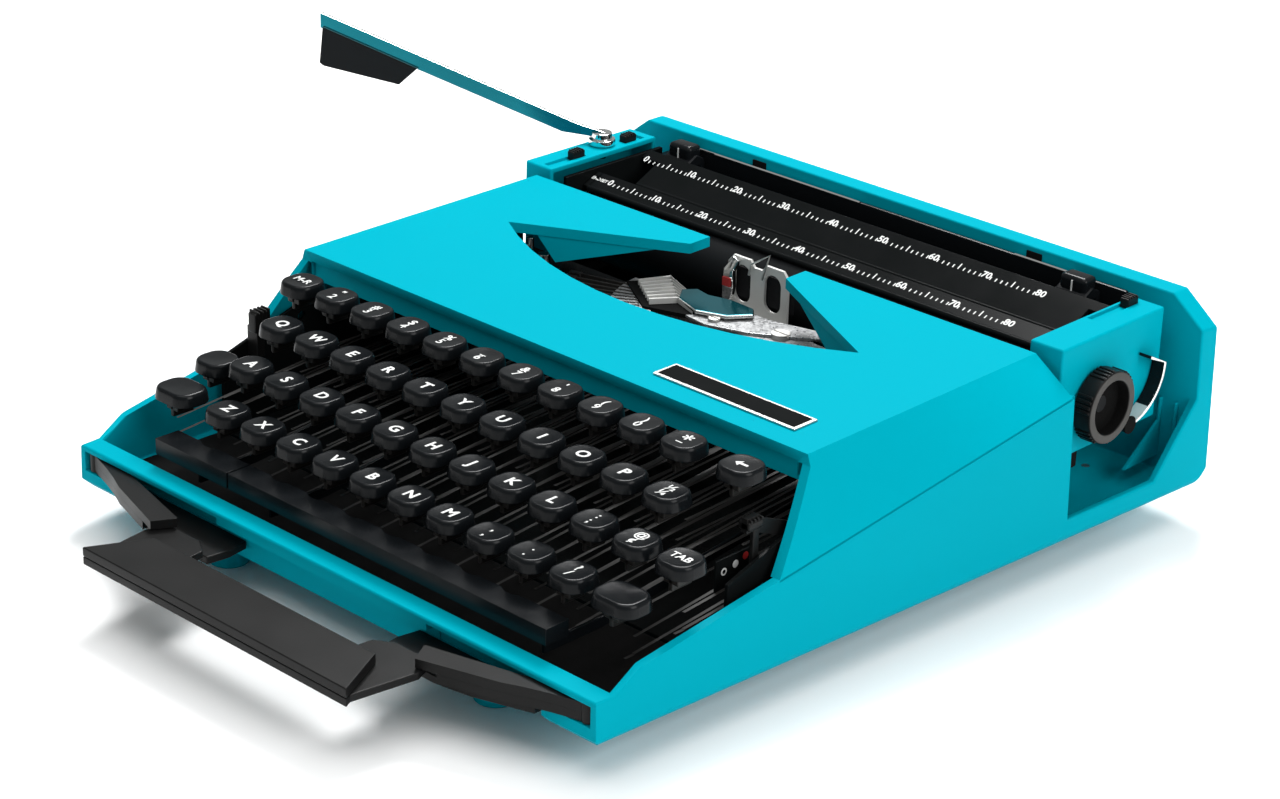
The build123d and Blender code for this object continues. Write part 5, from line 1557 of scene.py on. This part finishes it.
@dataclass
class ReturnLever:
    """Return lever with the hood's teal reflection painted into the colour of its mirror strip, chrome edges
    and a black paddle.

    Outlines give a distance from the pivot and a height. Each boss has a radius and two heights.
    """

    pivot: tuple = (-127.0, 262.0, 70.8)
    azimuth: float = 205.5
    strip: tuple = ((-4, 2.6), (17, 3.2), (124, 34.4), (124, 41.0), (10, 7.4), (-4, 4.8))
    strip_wall: float = 1.8
    paddle: tuple = ((80, 22.6), (122.6, 35.4), (124.2, 19.6), (122.5, 18.4), (88.5, 14.4))
    paddle_wall: float = 3.8
    bosses: tuple = ((5.5, 0.0, 2.6), (4.2, 2.4, 5.2), (2.0, -6.0, 0.2))

    def swept(self, name: str, outline: tuple, wall: float, finish: Finish) -> bpy.types.Object:
        """Plate in the lever's upright plane, with chrome edges.

        Args:
            name: Name of the piece.
            outline: Distance from the pivot and height of each corner.
            wall: Thickness.
            finish: Finish of its two sides.

        Returns:
            The plate.
        """
        turn = math.radians(self.azimuth)
        along = Vector((math.cos(turn), math.sin(turn), 0)) * MM
        across = Vector((-math.sin(turn), math.cos(turn), 0))
        foot = spot(*self.pivot) - across * wall / 2 * MM
        corners = [foot + along * distance + span(0, 0, height) for distance, height in outline]
        piece = Bench.round_edges(Bench.plate(name, corners, across * wall * MM), 0.3)
        Bench.paint(piece, CHROME)
        return Bench.tint(piece, finish, lambda middle, normal: abs(normal.dot(across)) > 0.9)

    def build(self) -> None:
        """Model and seat the lever."""
        node = "return_lever"
        # Painted reflection: the strip's two sides take the teal mirror colour.
        parts = [self.swept("strip", self.strip, self.strip_wall, TEAL_PAINTED_REFLECTION)]
        parts.append(self.swept("paddle", self.paddle, self.paddle_wall, RUBBER))
        foot = spot(*self.pivot)
        for radius, low, top in self.bosses:
            parts.append(Bench.pin(foot + span(0, 0, low), foot + span(0, 0, top), radius, CHROME, 40))
        Bench.seat(node + "_dressed", parts, node, node, slot="chrome")


@dataclass
class Handle:
    """Carrying handle, moulded in two halves.

    Outlines give an X and a depth. A trim is a point and the outward direction of a plane.
    """

    low: float = 7.4
    parting: float = 10.5
    top: float = 14.0
    grip: tuple = ((-67, -46), (67, -46), (56, -24), (-56, -24))
    arm: tuple = ((65.5, -44), (69.5, -18), (66, -9.8), (50, -9.8), (43, -14), (42, -22), (45, -30))
    arm_heights: tuple = (7.5, 10.25)
    guide: tuple = ((105.5, 5.7), (44, 5.7), (42.5, -3), (43.5, -12), (70, -12), (84, -9.5), (105.5, -2.5))
    guide_heights: tuple = (4.0, 7.0)
    trims: tuple = ((67.0, -17.5, -0.869, -0.495), (66.0, -17.8, 0.293, -0.956))
    rounding: float = 0.45

    def level(self, outline: tuple, low: float, top: float, side: int = 1) -> bpy.types.Object:
        """Level black plate with softened edges.

        Args:
            outline: X and depth of each corner.
            low: Height of its underside.
            top: Height of its top.
            side: -1 to mirror it to the left.

        Returns:
            The plate.
        """
        plate = Bench.slab("level", [(side * x, depth) for x, depth in outline], low, top)
        return Bench.paint(Bench.round_edges(plate, self.rounding, 3), SATIN_BLACK)

    def link(self, node: str, side: int) -> list:
        """Halves of one link, with its inner end cut square.

        Args:
            node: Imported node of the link.
            side: -1 on the left, 1 on the right.

        Returns:
            The lower and the upper half.
        """
        halves = []
        for up in SIDES:
            half = Bench.copied(node, node + "_half")
            Bench.bisect(half, spot(0, 0, self.parting), Vector((0, 0, -up)))
            for x, depth, out_x, out_y in self.trims:
                Bench.bisect(half, spot(side * x, depth, 0), Vector((side * out_x, out_y, 0)))
            halves.append(Bench.paint(Bench.round_edges(half, self.rounding, 3, 0.6), SATIN_BLACK))
        return halves

    def build(self) -> None:
        """Model and seat the grip, both links and the plates that keep them level."""
        grip = [self.level(self.grip, self.low, self.parting)]
        grip.append(self.level(self.grip, self.parting, self.top))
        for side, node in zip(SIDES, ("handle_link_left", "handle_link_right")):
            grip.append(self.level(self.arm, *self.arm_heights, side))
            Bench.seat(node + "_dressed", self.link(node, side), node, node, slot="black_plastic")
            Bench.seat("handle_guide", [self.level(self.guide, *self.guide_heights, side)], "shell")
        node = "handle_grip"
        Bench.seat(node + "_dressed", grip, node, node, slot="black_plastic")


@dataclass
class Plain:
    """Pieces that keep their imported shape, each with its body, finish, slot and width of softened edges."""

    pieces: tuple = (
        ("chassis_frame", "shell", BLACK_ENAMEL, "black_enamel", 0.3),
        ("key_fulcrum_rod", "shell", BRIGHT_STEEL, "bright_steel", 0.0),
        ("carriage_rail", "shell", BRIGHT_STEEL, "bright_steel", 0.4),
        ("screws", "shell", BRIGHT_STEEL, "bright_steel", 0.0),
        ("type_segment", "shell", ZINC, "zinc_plate", 0.0),
        # Painted shade: the typebars take the darkened lever steel under the hood.
        ("typebars", "shell", LEVER_STEEL_PAINTED_SHADE, "bright_steel", 0.15),
        ("ribbon_spool_left", "ribbon_spool_left", BRIGHT_STEEL, "spool_steel", 0.2),
        ("ribbon_spool_right", "ribbon_spool_right", BRIGHT_STEEL, "spool_steel", 0.2),
        ("carriage_frame", "carriage", BLACK_ENAMEL, "black_enamel", 0.4),
        ("platen", "platen", RUBBER, "platen_rubber", 0.6),
    )
    shortest_share: float = 1.2

    def build(self) -> None:
        """Copy, soften and seat each piece."""
        for node, body, finish, slot, width in self.pieces:
            piece = Bench.dressed(node, finish, width, self.shortest_share * width)
            Bench.seat(node + "_dressed", [piece], body, node, slot=slot)


@dataclass
class Studio:
    """Floor, light and camera. Each lamp has a name, a place, an aim, a side and a power in watts."""

    camera_place: tuple = (688.1, -732.5, 484.8)
    azimuth: float = 43.12
    elevation: float = 23.69
    roll: float = 1.72
    focal_pixels: float = 3025.0
    sensor: float = 36.0
    view_reach: float = 50.0
    floor_size: float = 12.0
    floor_color: tuple = (0.97, 0.97, 0.97, 1)
    floor_rough: float = 0.45
    sky_color: tuple = (0.98, 1.0, 0.99, 1)
    sky_strength: float = 0.39
    lamps: tuple = (
        ("key_lamp", (-0.55, 0.75, 1.35), (0, 0, 0), 0.6, 29.0),
        ("top_lamp", (0.1, -0.3, 1.9), (0, 0, 0), 2.0, 25.0),
        ("side_lamp", (1.8, 0.1, 1.0), (0, 0, 0.05), 1.2, 23.0),
    )

    def camera(self) -> None:
        """Place the camera at the photograph's viewpoint."""
        turn, tilt, roll = (math.radians(angle) for angle in (self.azimuth, self.elevation, self.roll))
        right = Vector((math.cos(turn), math.sin(turn), 0))
        back = Vector((math.sin(turn) * math.cos(tilt), -math.cos(turn) * math.cos(tilt), math.sin(tilt)))
        up = back.cross(right)
        side = right * math.cos(roll) + up * math.sin(roll)
        top = up * math.cos(roll) - right * math.sin(roll)
        data = bpy.data.cameras.new("camera")
        data.sensor_width = self.sensor
        data.lens = self.focal_pixels / IMAGE_WIDTH * self.sensor
        data.clip_end = self.view_reach
        camera = bpy.data.objects.new("camera", data)
        basis = Matrix((side, top, back)).transposed().to_4x4()
        camera.matrix_world = Matrix.Translation(span(*self.camera_place)) @ basis
        bpy.context.scene.collection.objects.link(camera)
        bpy.context.scene.camera = camera

    def lamp(self, name: str, place: tuple, aim: tuple, size: float, power: float) -> None:
        """Soft square lamp.

        Args:
            name: Name of the lamp.
            place: Where it hangs, in metres.
            aim: Point that it faces, in metres.
            size: Side of the square in metres.
            power: Power in watts.
        """
        data = bpy.data.lights.new(name, "AREA")
        data.energy = power
        data.size = size
        lamp = bpy.data.objects.new(name, data)
        lamp.location = place
        lamp.rotation_euler = (Vector(aim) - Vector(place)).to_track_quat("-Z", "Y").to_euler()
        bpy.context.scene.collection.objects.link(lamp)

    def world(self) -> None:
        """Even white surroundings, plain white to the camera."""
        world = bpy.data.worlds.new("studio")
        bpy.context.scene.world = world
        world.use_nodes = True
        tree = world.node_tree
        light = tree.nodes["Background"]
        Effects.feed(tree, light, {"Color": self.sky_color, "Strength": self.sky_strength})
        white = Effects.node(tree, "Background", {"Color": (1, 1, 1, 1)})
        rays = Effects.node(tree, "LightPath", {})
        skies = {1: light.outputs["Background"], 2: white.outputs["Background"]}
        mix = Effects.node(tree, "MixShader", {"Fac": rays.outputs["Is Camera Ray"], **skies})
        Effects.feed(tree, tree.nodes["World Output"], {"Surface": mix.outputs["Shader"]})

    def floor(self) -> None:
        """Pale table top that keeps the shadow."""
        Bench.clear()
        bpy.ops.mesh.primitive_plane_add(size=self.floor_size)
        floor = Bench.named("floor")
        material = bpy.data.materials.new("floor_white")
        material.use_nodes = True
        tree = material.node_tree
        surface = {"Base Color": self.floor_color, "Roughness": self.floor_rough}
        Effects.feed(tree, tree.nodes["Principled BSDF"], surface)
        floor.data.materials.append(material)

    def build(self) -> None:
        """Set up the whole studio."""
        bpy.context.scene.view_settings.view_transform = "Standard"
        self.camera()
        self.world()
        self.floor()
        for lamp in self.lamps:
            self.lamp(*lamp)


def main() -> None:
    """Build the typewriter's pieces in order."""
    logging.basicConfig(level=logging.INFO)
    for kind in (Shells, Keyboard, Selector, TypeBasket, Carriage, ReturnLever, Handle, Plain, Studio):
        kind().build()
        LOG.info("%s done", kind.__name__)


if __name__ == "__main__":
    main()
